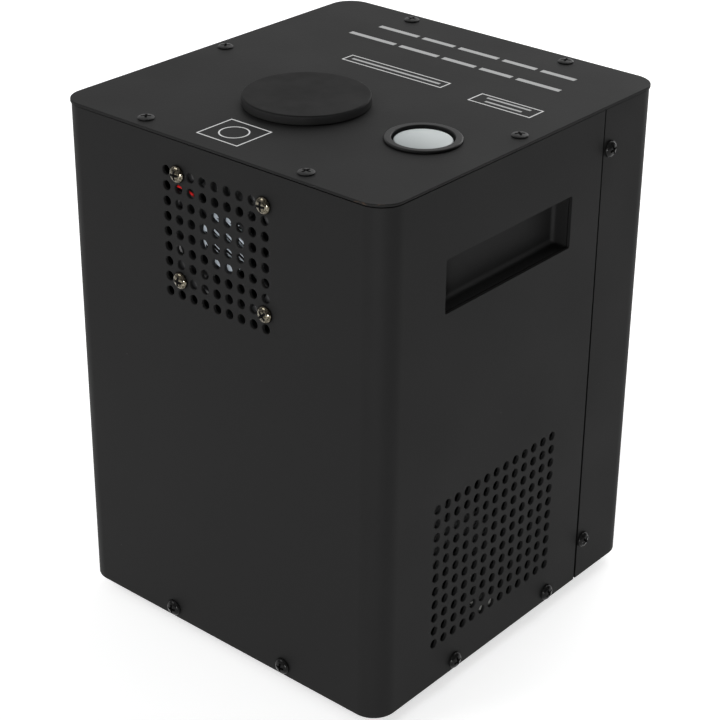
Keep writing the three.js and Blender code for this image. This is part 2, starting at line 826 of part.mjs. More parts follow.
// Barrel: the tube that the hot granules rise in, from the blower to the collar
const blowerOuterRadius = blowerInnerRadius + blowerWall;
const blowerAxisHeight = sheet + seatGap + blowerPad + blowerOuterRadius;
const ductTop = blowerAxisHeight + blowerOuterRadius + blowerDuctRise;
const barrelBottom = ductTop + seatGap;
const barrelTop = plateTop - collarSkirtDepth - seatGap;
const spark = new THREE.Group();
spark.position.set(outletAside, feedLine, 0);
casing.add(spark);
const feedRun = outletAside - fillAside;
const barrel = cutAll(
  joinAll([
    turned([
      [barrelRadius - barrelWall, barrelBottom],
      [barrelRadius, barrelBottom],
      [barrelRadius, barrelTop],
      [barrelRadius - barrelWall, barrelTop],
    ]),
    block(
      -barrelFlange / 2, barrelFlange / 2, -barrelFlange / 2, barrelFlange / 2,
      barrelBottom, barrelBottom + barrelFlangeThickness,
    ).subtract(flat(
      hole(barrelRadius - barrelWall / 2, roundSides),
      barrelBottom - overrun, barrelBottom + barrelFlange,
    )),
  ]),
  [sideways(hole(feedTubeRadius + seatGap, roundSides, 0, feedAxisHeight), -barrelFlange, 0)],
);
add(spark, 'spark_barrel', barrel, steel);

// Heater band around the barrel, and the insulating jacket over both
const heaterTop = barrelTop - heaterFromTop;
const heaterBottom = feedAxisHeight + heaterAboveFeed;
const heaterBand = turned([
  [barrelRadius + seatGap, heaterBottom],
  [heaterRadius, heaterBottom],
  [heaterRadius, heaterTop],
  [barrelRadius + seatGap, heaterTop],
]);
add(spark, 'heater_band', heaterBand, steel);
const jacketHollow = jacketRadius - jacketWall;
const jacket = turned([
  [barrelRadius + seatGap, heaterBottom - runGap - jacketEnd],
  [jacketRadius, heaterBottom - runGap - jacketEnd],
  [jacketRadius, heaterTop + runGap + jacketEnd],
  [barrelRadius + seatGap, heaterTop + runGap + jacketEnd],
  [barrelRadius + seatGap, heaterTop + runGap],
  [jacketHollow, heaterTop + runGap],
  [jacketHollow, heaterBottom - runGap],
  [barrelRadius + seatGap, heaterBottom - runGap],
]);
add(spark, 'heater_jacket', jacket, insulation);

// Granule feed, along X from the motor to the barrel, about its own axis
const feed = new THREE.Group();
feed.position.set(fillAside, feedLine, feedAxisHeight);
casing.add(feed);
const bracketFace = bracketAside + bracketThickness - fillAside;
const tubeStart = bracketFace + seatGap;
const feedTube = cutAll(
  joinAll([
    sideways(ring(feedTubeRadius, roundSides), tubeStart, feedRun),
    sideways(ring(feedFlangeRadius, roundSides), tubeStart, tubeStart + feedFlangeThickness),
    block(
      -feedBlockSize / 2, feedBlockSize / 2, -feedBlockSize / 2, feedBlockSize / 2,
      -feedTubeRadius, feedBlockRise,
    ),
  ]),
  [
    sideways(hole(feedTubeBore, roundSides), tubeStart - overrun, feedRun + overrun),
    flat(hole(spoutRadius + seatGap, roundSides), feedTubeRadius, feedBlockRise + overrun),
    flat(hole(feedDropRadius, holeSides), 0, feedBlockRise),
    flat(hole(barrelRadius - barrelWall, roundSides, feedRun, 0), -feedBlockRise, feedBlockRise),
  ],
);
add(feed, 'feed_tube', feedTube, steel);

// Auger: a shaft with one thread, twisted out of its straight section
const augerStart = tubeStart + feedFlangeThickness;
const augerEnd = feedRun - barrelRadius - runGap;
const threadEdge = THREE.MathUtils.degToRad(augerThreadAngle / 2);
const threadOutline = new THREE.Shape();
threadOutline.absarc(0, 0, augerRadius, -threadEdge, threadEdge);
threadOutline.absarc(0, 0, augerShaftRadius, threadEdge, 2 * Math.PI - threadEdge);
const augerTurns = (augerEnd - augerStart) / augerPitch;
const threadGeometry = new THREE.ExtrudeGeometry(threadOutline, {
  depth: augerEnd - augerStart,
  steps: Math.round(augerTurns * augerStepsPerTurn),
  bevelEnabled: false,
  curveSegments: cornerSteps,
});
const threadPoints = threadGeometry.attributes.position;
for (let at = 0; at < threadPoints.count; at += 1) {
  const along = threadPoints.getZ(at);
  const turn = 2 * Math.PI * along / augerPitch;
  const [x, y] = [threadPoints.getX(at), threadPoints.getY(at)];
  const twistedX = x * Math.cos(turn) - y * Math.sin(turn);
  const twistedY = x * Math.sin(turn) + y * Math.cos(turn);
  threadPoints.setXYZ(at, twistedX, twistedY, along + augerStart);
}
const augerThread = solid(threadGeometry.rotateX(Math.PI / 2).rotateZ(Math.PI / 2));
const shaftStart = bracketFace - bracketThickness - seatGap - augerJournal;
const augerShaft = sideways(ring(augerShaftRadius, smallSides), shaftStart, augerStart + augerPitch / 2);
add(feed, 'feed_auger', augerThread.add(augerShaft), steel);

// Feed motor with its gearbox, on the far side of the bracket
const gearboxFace = bracketFace - bracketThickness - seatGap;
const gearboxRear = gearboxFace - gearboxLength;
const gearboxHalf = gearboxSize / 2;
const journalHole = hole(augerShaftRadius + seatGap, holeSides);
const feedMotor = joinAll([
  block(gearboxRear, gearboxFace, -gearboxHalf, gearboxHalf, -gearboxHalf, gearboxHalf),
  sideways(ring(feedMotorRadius, roundSides), gearboxRear - feedMotorLength, gearboxFace - overrun),
]).subtract(sideways(journalHole, gearboxFace - augerJournal - runGap, gearboxFace + overrun));
add(feed, 'feed_motor', feedMotor, steel);

// Bracket: an upright sheet on the base pan that carries the feed
const bracketBottom = sheet + seatGap - feedAxisHeight;
const bracketBack = bracketFace - bracketThickness;
const bracketHalf = bracketWidth / 2;
const footTop = bracketBottom + bracketThickness;
const bracket = joinAll([
  block(bracketBack, bracketFace, -bracketHalf, bracketHalf, bracketBottom, bracketRise),
  block(bracketFace - bracketFoot, bracketFace, -bracketHalf, bracketHalf, bracketBottom, footTop),
]).subtract(sideways(hole(augerShaftRadius + runGap, holeSides), gearboxFace, bracketFace + overrun));
add(feed, 'feeder_bracket', bracket, steel);

// Blower: a spiral housing under the barrel, with its eye towards the right-hand vent.
// It is made about the axis of its wheel, which lies along X.
const blowerAxisY = feedLine - blowerDuct / 2 + blowerInnerRadius;
const blower = new THREE.Group();
blower.position.set(outletAside, blowerAxisY, blowerAxisHeight);
casing.add(blower);
const ductY = feedLine - blowerAxisY;
const blowerHalf = blowerDuct / 2 + blowerWall;

function blowerSolid(radius, halfWidth, halfDuct, top) {
  return joinAll([
    sideways(ring(radius, roundSides), -halfWidth, halfWidth),
    block(-halfWidth, halfWidth, ductY - halfDuct, ductY + halfDuct, 0, top),
  ]);
}

const pad = block(
  -blowerPadWidth / 2, blowerPadWidth / 2, -blowerPadWidth, blowerPadWidth,
  -blowerOuterRadius - blowerPad, -blowerInnerRadius,
);
const blowerHousing = cutAll(
  joinAll([
    blowerSolid(blowerOuterRadius, blowerHalf, blowerHalf, ductTop - blowerAxisHeight),
    pad,
    sideways(ring(blowerMotorRadius, roundSides), -blowerHalf - blowerMotorDepth, -blowerDuct / 2),
  ]),
  [
    blowerSolid(blowerInnerRadius, blowerDuct / 2, blowerDuct / 2, ductTop),
    sideways(hole(blowerEyeRadius, roundSides), 0, blowerHalf + overrun),
  ],
).add(sideways(ring(axleRadius, smallSides), -blowerHalf, axleLength - blowerDuct / 2));
add(blower, 'blower_housing', blowerHousing, blackPlastic);

// Blower wheel: a back plate with a hub, blades round its edge and a front ring
const wheelBack = wheelSideGap - blowerDuct / 2;
const wheelFront = wheelBack + wheelWidth;
const wheelBlade = block(
  wheelBack, wheelFront, wheelEyeRadius, wheelRadius - wheelPlate / 2, -wheelPlate / 2, wheelPlate / 2,
);
const wheelBlades = [];
for (let blade = 0; blade < wheelBladeCount; blade += 1) {
  wheelBlades.push(wheelBlade.rotate([blade * 360 / wheelBladeCount, 0, 0]));
}
const blowerWheel = joinAll([
  sideways(ring(wheelRadius, roundSides), wheelBack, wheelBack + wheelPlate),
  sideways(ring(wheelRadius, roundSides), wheelFront - wheelPlate, wheelFront).subtract(
    sideways(hole(wheelEyeRadius, roundSides), wheelBack, wheelFront + overrun),
  ),
  sideways(ring(wheelHubRadius, holeSides), wheelBack, wheelFront),
  ...wheelBlades,
]).subtract(sideways(
  hole(axleRadius + seatGap, holeSides),
  wheelBack - overrun, axleLength - blowerDuct / 2 + runGap,
));
add(blower, 'blower_wheel', blowerWheel, blackPlastic);

// Power supply: a covered frame on the base pan with its terminals at one end
const supply = new THREE.Group();
supply.position.set(supplyAside, supplyBehindMiddle, sheet + seatGap);
casing.add(supply);
const powerSupply = block(
  -supplyWidth / 2, supplyWidth / 2, -supplyDepth / 2, supplyDepth / 2, 0, supplyHeight,
).subtract(block(
  supplyWidth / 2 - terminalDepth, supplyWidth / 2 + overrun,
  -supplyDepth / 2 - overrun, supplyDepth / 2 + overrun,
  terminalHeight, supplyHeight + overrun,
));
add(supply, 'power_supply', powerSupply, steel);

// Control panel on the rear cover. Y 0 is the outer face of the cover, and +Y is out of it.
const panel = new THREE.Group();
panel.position.y = rearFace;
casing.add(panel);

function panelBlock(x, z, width, height, y0, y1) {
  return block(x - width / 2, x + width / 2, y0, y1, z - height / 2, z + height / 2);
}

// Display bezel with the window on a ledge inside it
const windowWidth = displayWidth - 2 * displayBorder;
const windowHeight = displayHeight - 2 * displayBorder;
const bezelFoot = -sheet - windowLedge;
const displayFrame = cutAll(
  joinAll([
    panelBlock(0, displayRise, displayWidth, displayHeight, seatGap, displayProud),
    panelBlock(0, displayRise, displayCutoutWidth, displayCutoutHeight, bezelFoot, displayProud / 2),
  ]),
  [
    panelBlock(0, displayRise, windowWidth, windowHeight, 0, displayProud + overrun),
    panelBlock(
      0, displayRise, windowWidth - 2 * windowLedge, windowHeight - 2 * windowLedge,
      bezelFoot - overrun, overrun,
    ),
  ],
);
add(panel, 'display_bezel', displayFrame, blackPlastic);
const displayWindow = panelBlock(
  0, displayRise, windowWidth - 2 * seatGap, windowHeight - 2 * seatGap,
  seatGap, seatGap + windowThickness,
);
add(panel, 'display_window', displayWindow, smokedPane);

// Buttons: a cap through the cover, a flange behind it and a stem to the switch on the board
const boardFront = -sheet - boardStandoff;
const switchTop = boardFront + switchHeight;
const buttonProfile = [
  [0, switchTop + buttonTravel + seatGap],
  [buttonStemRadius, switchTop + buttonTravel + seatGap],
  [buttonStemRadius, -sheet - seatGap - buttonFlangeThickness],
  [buttonRadius + buttonFlange, -sheet - seatGap - buttonFlangeThickness],
  [buttonRadius + buttonFlange, -sheet - seatGap],
  [buttonRadius, -sheet - seatGap],
  [buttonRadius, buttonProud - buttonProud / 4],
  [buttonRadius - buttonProud / 4, buttonProud],
  [0, buttonProud],
];
const button = turned(buttonProfile, holeSides);
buttonPlaces.forEach((x, index) => {
  add(panel, `button_${index + 1}`, button, blackPlastic, x, 0, buttonRise).rotation.x = -Math.PI / 2;
});

// Control board on posts behind the panel, with its switches, display module and lead connector
const [postX, postZ] = [boardWidth / 2 - postInset, boardHeight / 2 - postInset];
const postOutlines = [[-1, -1], [1, -1], [-1, 1], [1, 1]].map(([x, z]) => ring(
  postRadius, holeSides, x * postX, boardRise + z * postZ,
));
const boardMiddle = boardFront - boardThickness / 2;
const leadSocketX = plugBlock - postX;
const controlBoard = joinAll([
  panelBlock(0, boardRise, boardWidth, boardHeight, boardFront - boardThickness, boardFront),
  upright(postOutlines, boardMiddle, -sheet - seatGap),
  ...buttonPlaces.map((x) => panelBlock(x, buttonRise, switchSize, switchSize, boardMiddle, switchTop)),
  panelBlock(0, displayRise, windowWidth, windowHeight, boardMiddle, bezelFoot - moduleGap),
  panelBlock(leadSocketX, boardRise, plugBlock, plugBlock, boardFront - plugBlock, boardMiddle),
]);
add(panel, 'control_board', controlBoard, boardGreen);

// Fan lead: from the motor along its strut, through the notch and back to the board
const strutCos = Math.cos(strutAngle);
const strutSin = Math.sin(strutAngle);
const leadY = frontFace + innerLayer + fanStrutInset / 2;
const leadEndY = rearFace + boardFront - plugBlock - seatGap;
const leadHeight = fanHeight + notchHeight;
const leadEdge = fanAside - fanSize / 2;
const leadBend = fanDepth;
const leadPoints = [
  [fanAside + fanMotorRadius / 2 * strutCos, leadY, fanHeight + fanMotorRadius / 2 * strutSin],
  [fanAside + fanMotorRadius * strutCos, leadY, fanHeight + fanMotorRadius * strutSin],
  [fanAside + fanBore / 2 * strutCos, leadY, leadHeight],
  [leadEdge - leadNotch, leadY, leadHeight],
  [leadEdge - leadBend / 2, leadY + leadBend / 3, leadHeight],
  [leadSocketX, leadY + leadBend, leadHeight],
  [leadSocketX, leadY + 3 * leadBend, leadHeight],
  [leadSocketX, (leadY + leadEndY) / 2, (leadHeight + boardRise) / 2],
  [leadSocketX, leadEndY - 3 * leadBend, boardRise],
  [leadSocketX, leadEndY - leadBend, boardRise],
  [leadSocketX, leadEndY, boardRise],
].map(([x, y, z]) => new THREE.Vector3(x, y, z));
const lead = new THREE.ExtrudeGeometry(ring(leadRadius, leadSides), {
  steps: leadSteps,
  extrudePath: new THREE.CatmullRomCurve3(leadPoints, false, 'centripetal'),
});
add(casing, 'fan_lead', solid(lead), redLead);

// Signal sockets: the input holds pins, the output holds an insert with holes for them
function pinOutlines(radius) {
  const outlines = [];
  for (let pin = 0; pin < socketPinCount; pin += 1) {
    const angle = Math.PI * (pin / 2 - 1);
    const [x, z] = [socketPinCircle * Math.cos(angle), socketPinCircle * Math.sin(angle)];
    outlines.push(ring(radius, smallSides, x, z));
  }
  return outlines;
}

const socketBody = cutAll(
  joinAll([
    panelBlock(0, 0, socketWidth, socketHeight, seatGap, socketProud),
    upright(ring(socketBodyRadius, roundSides), -socketBodyDepth, socketProud / 2),
  ]),
  [upright(hole(socketBore, roundSides), socketProud - socketBoreDepth, socketProud + overrun)],
);
const boreFloor = socketProud - socketBoreDepth;
const [inputX, outputX] = socketPlaces;
const pins = upright(pinOutlines(socketPinRadius), boreFloor - overrun, boreFloor + socketPinLength);
add(panel, 'signal_input', socketBody.add(pins), blackPlastic, inputX, 0, socketRise);
const insertOutline = ring(socketInsertRadius, roundSides);
const socketOutput = socketBody
  .add(upright(insertOutline, boreFloor - overrun, socketProud - overrun))
  .subtract(upright(pinOutlines(socketPinRadius + seatGap), boreFloor + overrun, socketProud));
add(panel, 'signal_output', socketOutput, blackPlastic, outputX, 0, socketRise);

// Mains inlet: a recess with three blades above the fuse drawer
const inletFloor = inletProud - inletRecessDepth;
const inletBlades = [[-1, -1], [0, 1], [1, -1]].map(([x, z]) => panelBlock(
  x * bladeSpread, inletRecessRise + z * bladeStep, bladeWidth, bladeHeight,
  inletFloor - overrun, inletFloor + bladeLength,
));
const inletMouth = inletProud + overrun;
const trayWidth = drawerWidth - 2 * drawerLip;
const trayHeight = drawerHeight - 2 * drawerLip;
const inletBody = cutAll(
  joinAll([
    panelBlock(0, 0, inletWidth, inletHeight, seatGap, inletProud),
    panelBlock(0, 0, inletBodyWidth, inletBodyHeight, -inletBodyDepth, inletProud / 2),
  ]),
  [
    panelBlock(0, inletRecessRise, inletRecessWidth, inletRecessHeight, inletFloor, inletMouth),
    panelBlock(
      0, -drawerDrop, trayWidth + 2 * seatGap, trayHeight + 2 * seatGap,
      -drawerDepth - seatGap, inletMouth,
    ),
  ],
);
add(panel, 'mains_inlet', joinAll([inletBody, ...inletBlades]), blackPlastic, inletAside, 0, inletRise);
const drawerFront = inletProud + seatGap + drawerLip;
const fuseDrawer = joinAll([
  panelBlock(0, 0, trayWidth, trayHeight, -drawerDepth, drawerFront - drawerLip / 2),
  panelBlock(0, 0, drawerWidth, drawerHeight, drawerFront - drawerLip, drawerFront),
]);
add(panel, 'fuse_drawer', fuseDrawer, blackPlastic, inletAside, 0, inletRise - drawerDrop);

// Power rocker in its frame, at rest in the off position. Its pivot is at the frame's well.
const rockerPivotY = rockerFrameProud - rockerPivotDepth;
const rockerHalf = rockerLength / 2;
const wellHalfWidth = rockerWidth / 2 + seatGap;
const rockerFrame = cutAll(
  joinAll([
    panelBlock(0, 0, rockerFrameWidth, rockerFrameHeight, seatGap, rockerFrameProud),
    panelBlock(0, 0, rockerBodyWidth, rockerBodyHeight, -rockerBodyDepth, rockerFrameProud / 2),
  ]),
  [
    panelBlock(
      0, 0, 2 * wellHalfWidth, rockerLength + 2 * runGap,
      rockerFrameProud - rockerWellDepth, rockerFrameProud + overrun,
    ),
    sideways(
      hole(trunnionRadius + seatGap, smallSides, rockerPivotY, 0),
      -wellHalfWidth - trunnionLength, wellHalfWidth + trunnionLength,
    ),
  ],
);
add(panel, 'rocker_frame', rockerFrame, blackPlastic, rockerAside, 0, inletRise);
const rockerOutline = new THREE.Shape([
  new THREE.Vector2(-rockerSide, -rockerHalf),
  new THREE.Vector2(rockerCrown, -rockerHalf),
  new THREE.Vector2(rockerCrown / 2, 0),
  new THREE.Vector2(rockerCrown, rockerHalf),
  new THREE.Vector2(-rockerSide, rockerHalf),
  new THREE.Vector2(-rockerKeel, 0),
]);
const trunnionEnd = wellHalfWidth + trunnionLength / 2;
const rocker = joinAll([
  sideways(rockerOutline, -rockerWidth / 2, rockerWidth / 2),
  sideways(ring(trunnionRadius, smallSides), -trunnionEnd, trunnionEnd),
]);
add(panel, 'power_rocker', rocker, blackPlastic, rockerAside, rockerPivotY, inletRise)
  .rotation.x = THREE.MathUtils.degToRad(-rockerTilt);

// The origin is below the middle of the whole machine, with what stands out at its front and rear
machine.updateMatrixWorld(true);
const reach = new THREE.Box3().setFromObject(machine);
machine.position.y = -(reach.min.y + reach.max.y) / 2;

export default machine;
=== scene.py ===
import json
import math

import bmesh
import bpy
from mathutils import Matrix, Vector


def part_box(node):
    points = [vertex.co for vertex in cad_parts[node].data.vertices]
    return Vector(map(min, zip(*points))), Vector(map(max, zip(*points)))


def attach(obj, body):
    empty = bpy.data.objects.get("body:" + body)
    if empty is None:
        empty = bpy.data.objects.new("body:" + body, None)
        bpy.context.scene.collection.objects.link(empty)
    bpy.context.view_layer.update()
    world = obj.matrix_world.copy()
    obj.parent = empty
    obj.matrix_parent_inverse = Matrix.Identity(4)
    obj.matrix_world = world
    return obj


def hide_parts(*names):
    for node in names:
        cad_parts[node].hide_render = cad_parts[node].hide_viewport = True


# Cold spark machine: a black sheet-metal box that lifts hot granules up a barrel and out of its top.
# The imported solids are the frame, and each piece below takes its place from the solid it stands for.
# Sizes are millimetres; MM turns them into the metres of the frame.
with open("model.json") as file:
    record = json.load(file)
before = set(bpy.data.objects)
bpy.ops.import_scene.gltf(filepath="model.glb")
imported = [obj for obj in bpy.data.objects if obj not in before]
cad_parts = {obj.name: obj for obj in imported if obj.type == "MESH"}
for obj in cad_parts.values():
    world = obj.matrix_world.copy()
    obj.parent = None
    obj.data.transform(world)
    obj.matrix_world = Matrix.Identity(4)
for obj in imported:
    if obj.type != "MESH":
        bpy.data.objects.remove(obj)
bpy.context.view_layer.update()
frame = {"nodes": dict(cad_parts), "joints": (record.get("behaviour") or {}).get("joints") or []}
MM = 0.001


# Base pan: a shallow tray of 1.5 mm steel with its lip folded up inside both shells. Six screws low
# on the casing hold it, and it is powder coated in the same fine matt black as the shells.
def span(node):
    """The lowest and the highest corner of a CAD solid, in millimetres."""
    low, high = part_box(node)
    return low / MM, high / MM


def middle(node):
    low, high = span(node)
    return (low + high) / 2


def over(node, height):
    """A point at a height on the upright axis of a CAD solid."""
    return middle(node).x, middle(node).y, height


def ring(half_x, half_y, corner, height, steps):
    """One level of a form: a rectangle with round corners, or a circle if the corner is all of it."""
    corner = max(corner, 0.05)
    points = []
    for quarter, (side_x, side_y) in enumerate(((1, 1), (-1, 1), (-1, -1), (1, -1))):
        for step in range(steps + 1):
            angle = (quarter + step / steps) * math.pi / 2
            points.append((
                side_x * (half_x - corner) + corner * math.cos(angle),
                side_y * (half_y - corner) + corner * math.sin(angle),
                height,
            ))
    return points


def lofted(levels, closed=False):
    """A skin over levels with equal numbers of points, capped at its ends or joined end to end."""
    form = bmesh.new()
    loops = [[form.verts.new(point) for point in level] for level in levels]
    pairs = list(zip(loops, loops[1:]))
    if closed:
        pairs.append((loops[-1], loops[0]))
    else:
        form.faces.new(loops[0])
        form.faces.new(loops[-1])
    for low, high in pairs:
        for at, corner in enumerate(low):
            after = (at + 1) % len(low)
            form.faces.new((corner, low[after], high[after], high[at]))
    bmesh.ops.remove_doubles(form, verts=form.verts, dist=0.0005)
    bmesh.ops.recalc_face_normals(form, faces=form.faces)
    return form


def swept(profile, half_x=0.0, half_y=0.0, corner=0.0, steps=16, closed=False):
    """A profile of growth and height, carried round a rectangle with round corners or round a point."""
    return lofted([
        ring(half_x + grow, half_y + grow, corner + grow, height, steps) for grow, height in profile
    ], closed)


def stacked(levels, steps, closed=False):
    """A form from a table of levels, each with its half width, half depth, corner and height."""
    return lofted([ring(*level, steps) for level in levels], closed)


def fillet(grow, height, radius, start, end, steps=4):
    """Points of a profile round a corner: its centre, its radius, its first and last angle."""
    angles = [math.radians(start + (end - start) * step / steps) for step in range(steps + 1)]
    return [(grow + radius * math.cos(angle), height + radius * math.sin(angle)) for angle in angles]


FACING = {
    "up": Matrix(((1, 0, 0), (0, 1, 0), (0, 0, 1))),
    "front": Matrix(((1, 0, 0), (0, 0, -1), (0, 1, 0))),
    "rear": Matrix(((-1, 0, 0), (0, 0, 1), (0, 1, 0))),
    "right": Matrix(((0, 0, 1), (1, 0, 0), (0, 1, 0))),
    "left": Matrix(((0, 0, -1), (-1, 0, 0), (0, 1, 0))),
}


def placed(form, point, facing="up"):
    """Turns a form so that its height points the way it faces, and sets its origin at a point."""
    form.transform(Matrix.Translation(point) @ FACING[facing].to_4x4())
    return form


def piece_of(name, *forms):
    """An object whose mesh holds the forms, each of them closed in itself."""
    mesh = bpy.data.meshes.new(name)
    whole = bmesh.new()
    for form in forms:
        form.to_mesh(mesh)
        form.free()
        whole.from_mesh(mesh)
    whole.transform(Matrix.Scale(MM, 4))
    whole.to_mesh(mesh)
    whole.free()
    piece = bpy.data.objects.new(name, mesh)
    bpy.context.scene.collection.objects.link(piece)
    return piece


def turned(name, profile, place, facing="up", steps=16, closed=False):
    """A piece of one round form."""
    return piece_of(name, placed(swept(profile, steps=steps, closed=closed), place, facing))


class Signal:
    """An output socket. Sums, products and comparisons of signals add the Math nodes they need."""

    def __init__(self, wires, socket):
        self.wires = wires
        self.socket = socket

    def math(self, operation, first, second=0.0):
        return self.wires.node("ShaderNodeMath", {"operation": operation}, {0: first, 1: second})

    def __getitem__(self, name):
        return Signal(self.wires, self.socket.node.outputs[name])

    def __add__(self, other):
        return self.math("ADD", self, other)

    def __sub__(self, other):
        return self.math("SUBTRACT", self, other)

    def __rsub__(self, other):
        return self.math("SUBTRACT", other, self)

    def __mul__(self, other):
        return self.math("MULTIPLY", self, other)

    def __truediv__(self, other):
        return self.math("DIVIDE", self, other)

    def __pow__(self, other):
        return self.math("POWER", self, other)

    def __gt__(self, other):
        return self.math("GREATER_THAN", self, other)

    def __lt__(self, other):
        return self.math("LESS_THAN", self, other)

    def __abs__(self):
        return self.math("ABSOLUTE", self)

    def fraction(self):
        return self.math("FRACT", self)

    def wave(self):
        return self.math("SINE", self)

    def zigzag(self, step):
        return self.math("PINGPONG", self, step)

    __radd__ = __add__
    __rmul__ = __mul__


class Wires:
    """Adds nodes to one tree. Sockets go by name or number and take values or signals."""

    def __init__(self, tree):
        self.tree = tree

    def node(self, kind, settings=None, sockets=None, out=0):
        made = self.tree.nodes.new(kind)
        for name, value in (settings or {}).items():
            setattr(made, name, value)
        for name, value in (sockets or {}).items():
            if isinstance(value, Signal):
                self.tree.links.new(value.socket, made.inputs[name])
            else:
                made.inputs[name].default_value = value
        return Signal(self, made.outputs[out]) if made.outputs else None

    def ramp(self, signal, start, end, low=0.0, high=1.0):
        """Takes a signal from one range to another and stops at its ends."""
        sockets = {0: signal, 1: start, 2: end, 3: low, 4: high}
        return self.node("ShaderNodeMapRange", {"clamp": True}, sockets)


class Finish(Wires):
    """A material under construction. Its patterns lie in the piece's own space."""

    def __init__(self, name):
        self.material = bpy.data.materials.new(name)
        self.material.use_nodes = True
        super().__init__(self.material.node_tree)
        self.place = self.node("ShaderNodeTexCoord", out="Object")
        self.axes = self.node("ShaderNodeSeparateXYZ", None, {0: self.place})

    def noise(self, size, detail=2.0, stretch=(1, 1, 1)):
        """Noise with features of about this size, longer along an axis by its stretch."""
        scale = [1 / (size * MM * share) for share in stretch]
        where = self.node("ShaderNodeMapping", None, {0: self.place, "Scale": scale})
        return self.node("ShaderNodeTexNoise", None, {0: where, "Scale": 1.0, "Detail": detail})

    def specks(self, spacing, radius, rarity):
        """Small round spots, at most one in each cell of this spacing."""
        scale = 1 / (spacing * MM)
        cell = self.node("ShaderNodeTexVoronoi", None, {0: self.place, "Scale": scale, "Randomness": 1.0})
        return (cell["Distance"] < radius / spacing) * (cell["Color"] > rarity)

    def mix(self, share, under, over):
        """Two colours, each a grey, a red-green-blue triple or a signal, blended by a share."""
        colours = []
        for colour in (under, over):
            if isinstance(colour, (int, float)):
                colour = (colour,) * 3
            colours.append(colour if isinstance(colour, Signal) else (*colour, 1))
        settings = {"data_type": "RGBA", "clamp_factor": True}
        return self.node("ShaderNodeMix", settings, {0: share, 6: colours[0], 7: colours[1]}, 2)

    def bump(self, height, depth, strength=1.0, under=None):
        """A height signal as relief of this depth, over other relief if some is given."""
        sockets = {"Height": height, "Distance": depth * MM, "Strength": strength}
        if under is not None:
            sockets["Normal"] = under
        return self.node("ShaderNodeBump", None, sockets)

    def give(self, **sockets):
        """Sets or links the shader's sockets, named with underscores for spaces."""
        shader = self.tree.nodes["Principled BSDF"]
        for name, value in sockets.items():
            socket = shader.inputs[name.replace("_", " ")]
            if isinstance(value, Signal):
                self.tree.links.new(value.socket, socket)
            else:
                socket.default_value = value
        return self


def powder_coat(name, *marks, deep=0.0115, pale=0.0165):
    """Fine matt black powder coat, between a deep and a pale grey, with a few specks of dust.

    Each mark on it has a function that gives its mask, a colour and a change of roughness.
    """
    coat = Finish(name)
    grain = coat.noise(0.42, 3.0)
    orange_peel = coat.noise(1.7, 1.0)
    cloud = coat.noise(46.0, 3.0)
    colour = coat.mix(coat.specks(14.0, 0.2, 0.55), coat.mix(cloud, deep, pale), 0.08)
    rough = coat.ramp(cloud, 0.3, 0.7, 0.50, 0.57) + 0.06 * grain
    for mask_of, shade, dulling in marks:
        mask = mask_of(coat)
        colour = coat.mix(mask, colour, shade)
        rough = rough + dulling * mask
    relief = coat.bump(grain, 0.05, 0.32, coat.bump(orange_peel, 0.06, 0.4))
    coat.give(Base_Color=colour, Roughness=rough, Normal=relief, Specular_IOR_Level=0.08)
    return coat


def settle(piece):
    """Turns a piece with modifiers into a plain mesh."""
    graph = bpy.context.evaluated_depsgraph_get()
    mesh = bpy.data.meshes.new_from_object(piece.evaluated_get(graph), depsgraph=graph)
    piece.modifiers.clear()
    piece.data = mesh
    return piece


def eased(piece, width, segments=2, sharpest=40):
    """Rounds the sharp edges of a piece by a small width."""
    ease = piece.modifiers.new("ease", "BEVEL")
    ease.width = width * MM
    ease.segments = segments
    ease.limit_method = "ANGLE"
    ease.angle_limit = math.radians(sharpest)
    return settle(piece)


def combined(piece, operation, *others):
    """Joins other pieces to a piece or cuts them out of it. They are used up."""
    for other in others:
        step = piece.modifiers.new(operation, "BOOLEAN")
        step.operation = operation
        step.solver = "MANIFOLD"
        step.object = other
        settle(piece)
        bpy.data.objects.remove(other)
    return piece


def cut(piece, *forms):
    """Takes forms out of a piece."""
    return combined(piece, "DIFFERENCE", piece_of("cutter", *forms))


def fitted(piece, finish, body, slot, *nodes, crease=32):
    """Gives a piece its finish, ties it to a CAD body and hides the solids that it stands for."""
    for face in piece.data.polygons:
        face.use_smooth = True
        face.material_index = 0
    piece.data.set_sharp_from_angle(angle=math.radians(crease))
    even = piece.modifiers.new("even shading", "WEIGHTED_NORMAL")
    even.keep_sharp = True
    settle(piece)
    piece.data.materials.clear()
    piece.data.materials.append(finish.material)
    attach(piece, body)
    if nodes:
        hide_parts(*nodes)
    return piece


sheet = 1.5
pan_corner = 10.0
pan_fold = 1.6
pan_lip = 0.3
pan_low, pan_high = span("base_pan")
pan_half = (pan_high - pan_low) / 2
pan_height = pan_high.z - pan_low.z
pan_skin = [
    *fillet(-sheet - pan_fold, sheet + pan_fold, pan_fold, -90, 0),
    *fillet(-sheet + pan_lip, pan_height - pan_lip, pan_lip, 180, 90, 2),
    *fillet(-pan_lip, pan_height - pan_lip, pan_lip, 90, 0, 2),
    *fillet(-sheet - pan_fold, sheet + pan_fold, sheet + pan_fold, 0, -90),
]
pan_coat = powder_coat("powder coat of the pan")
pan_form = swept(pan_skin, pan_half.x, pan_half.y, pan_corner, 10)
base_pan = piece_of("pan_tray", placed(pan_form, over("base_pan", pan_low.z)))
fitted(base_pan, pan_coat, "casing", "powder_black", "base_pan")


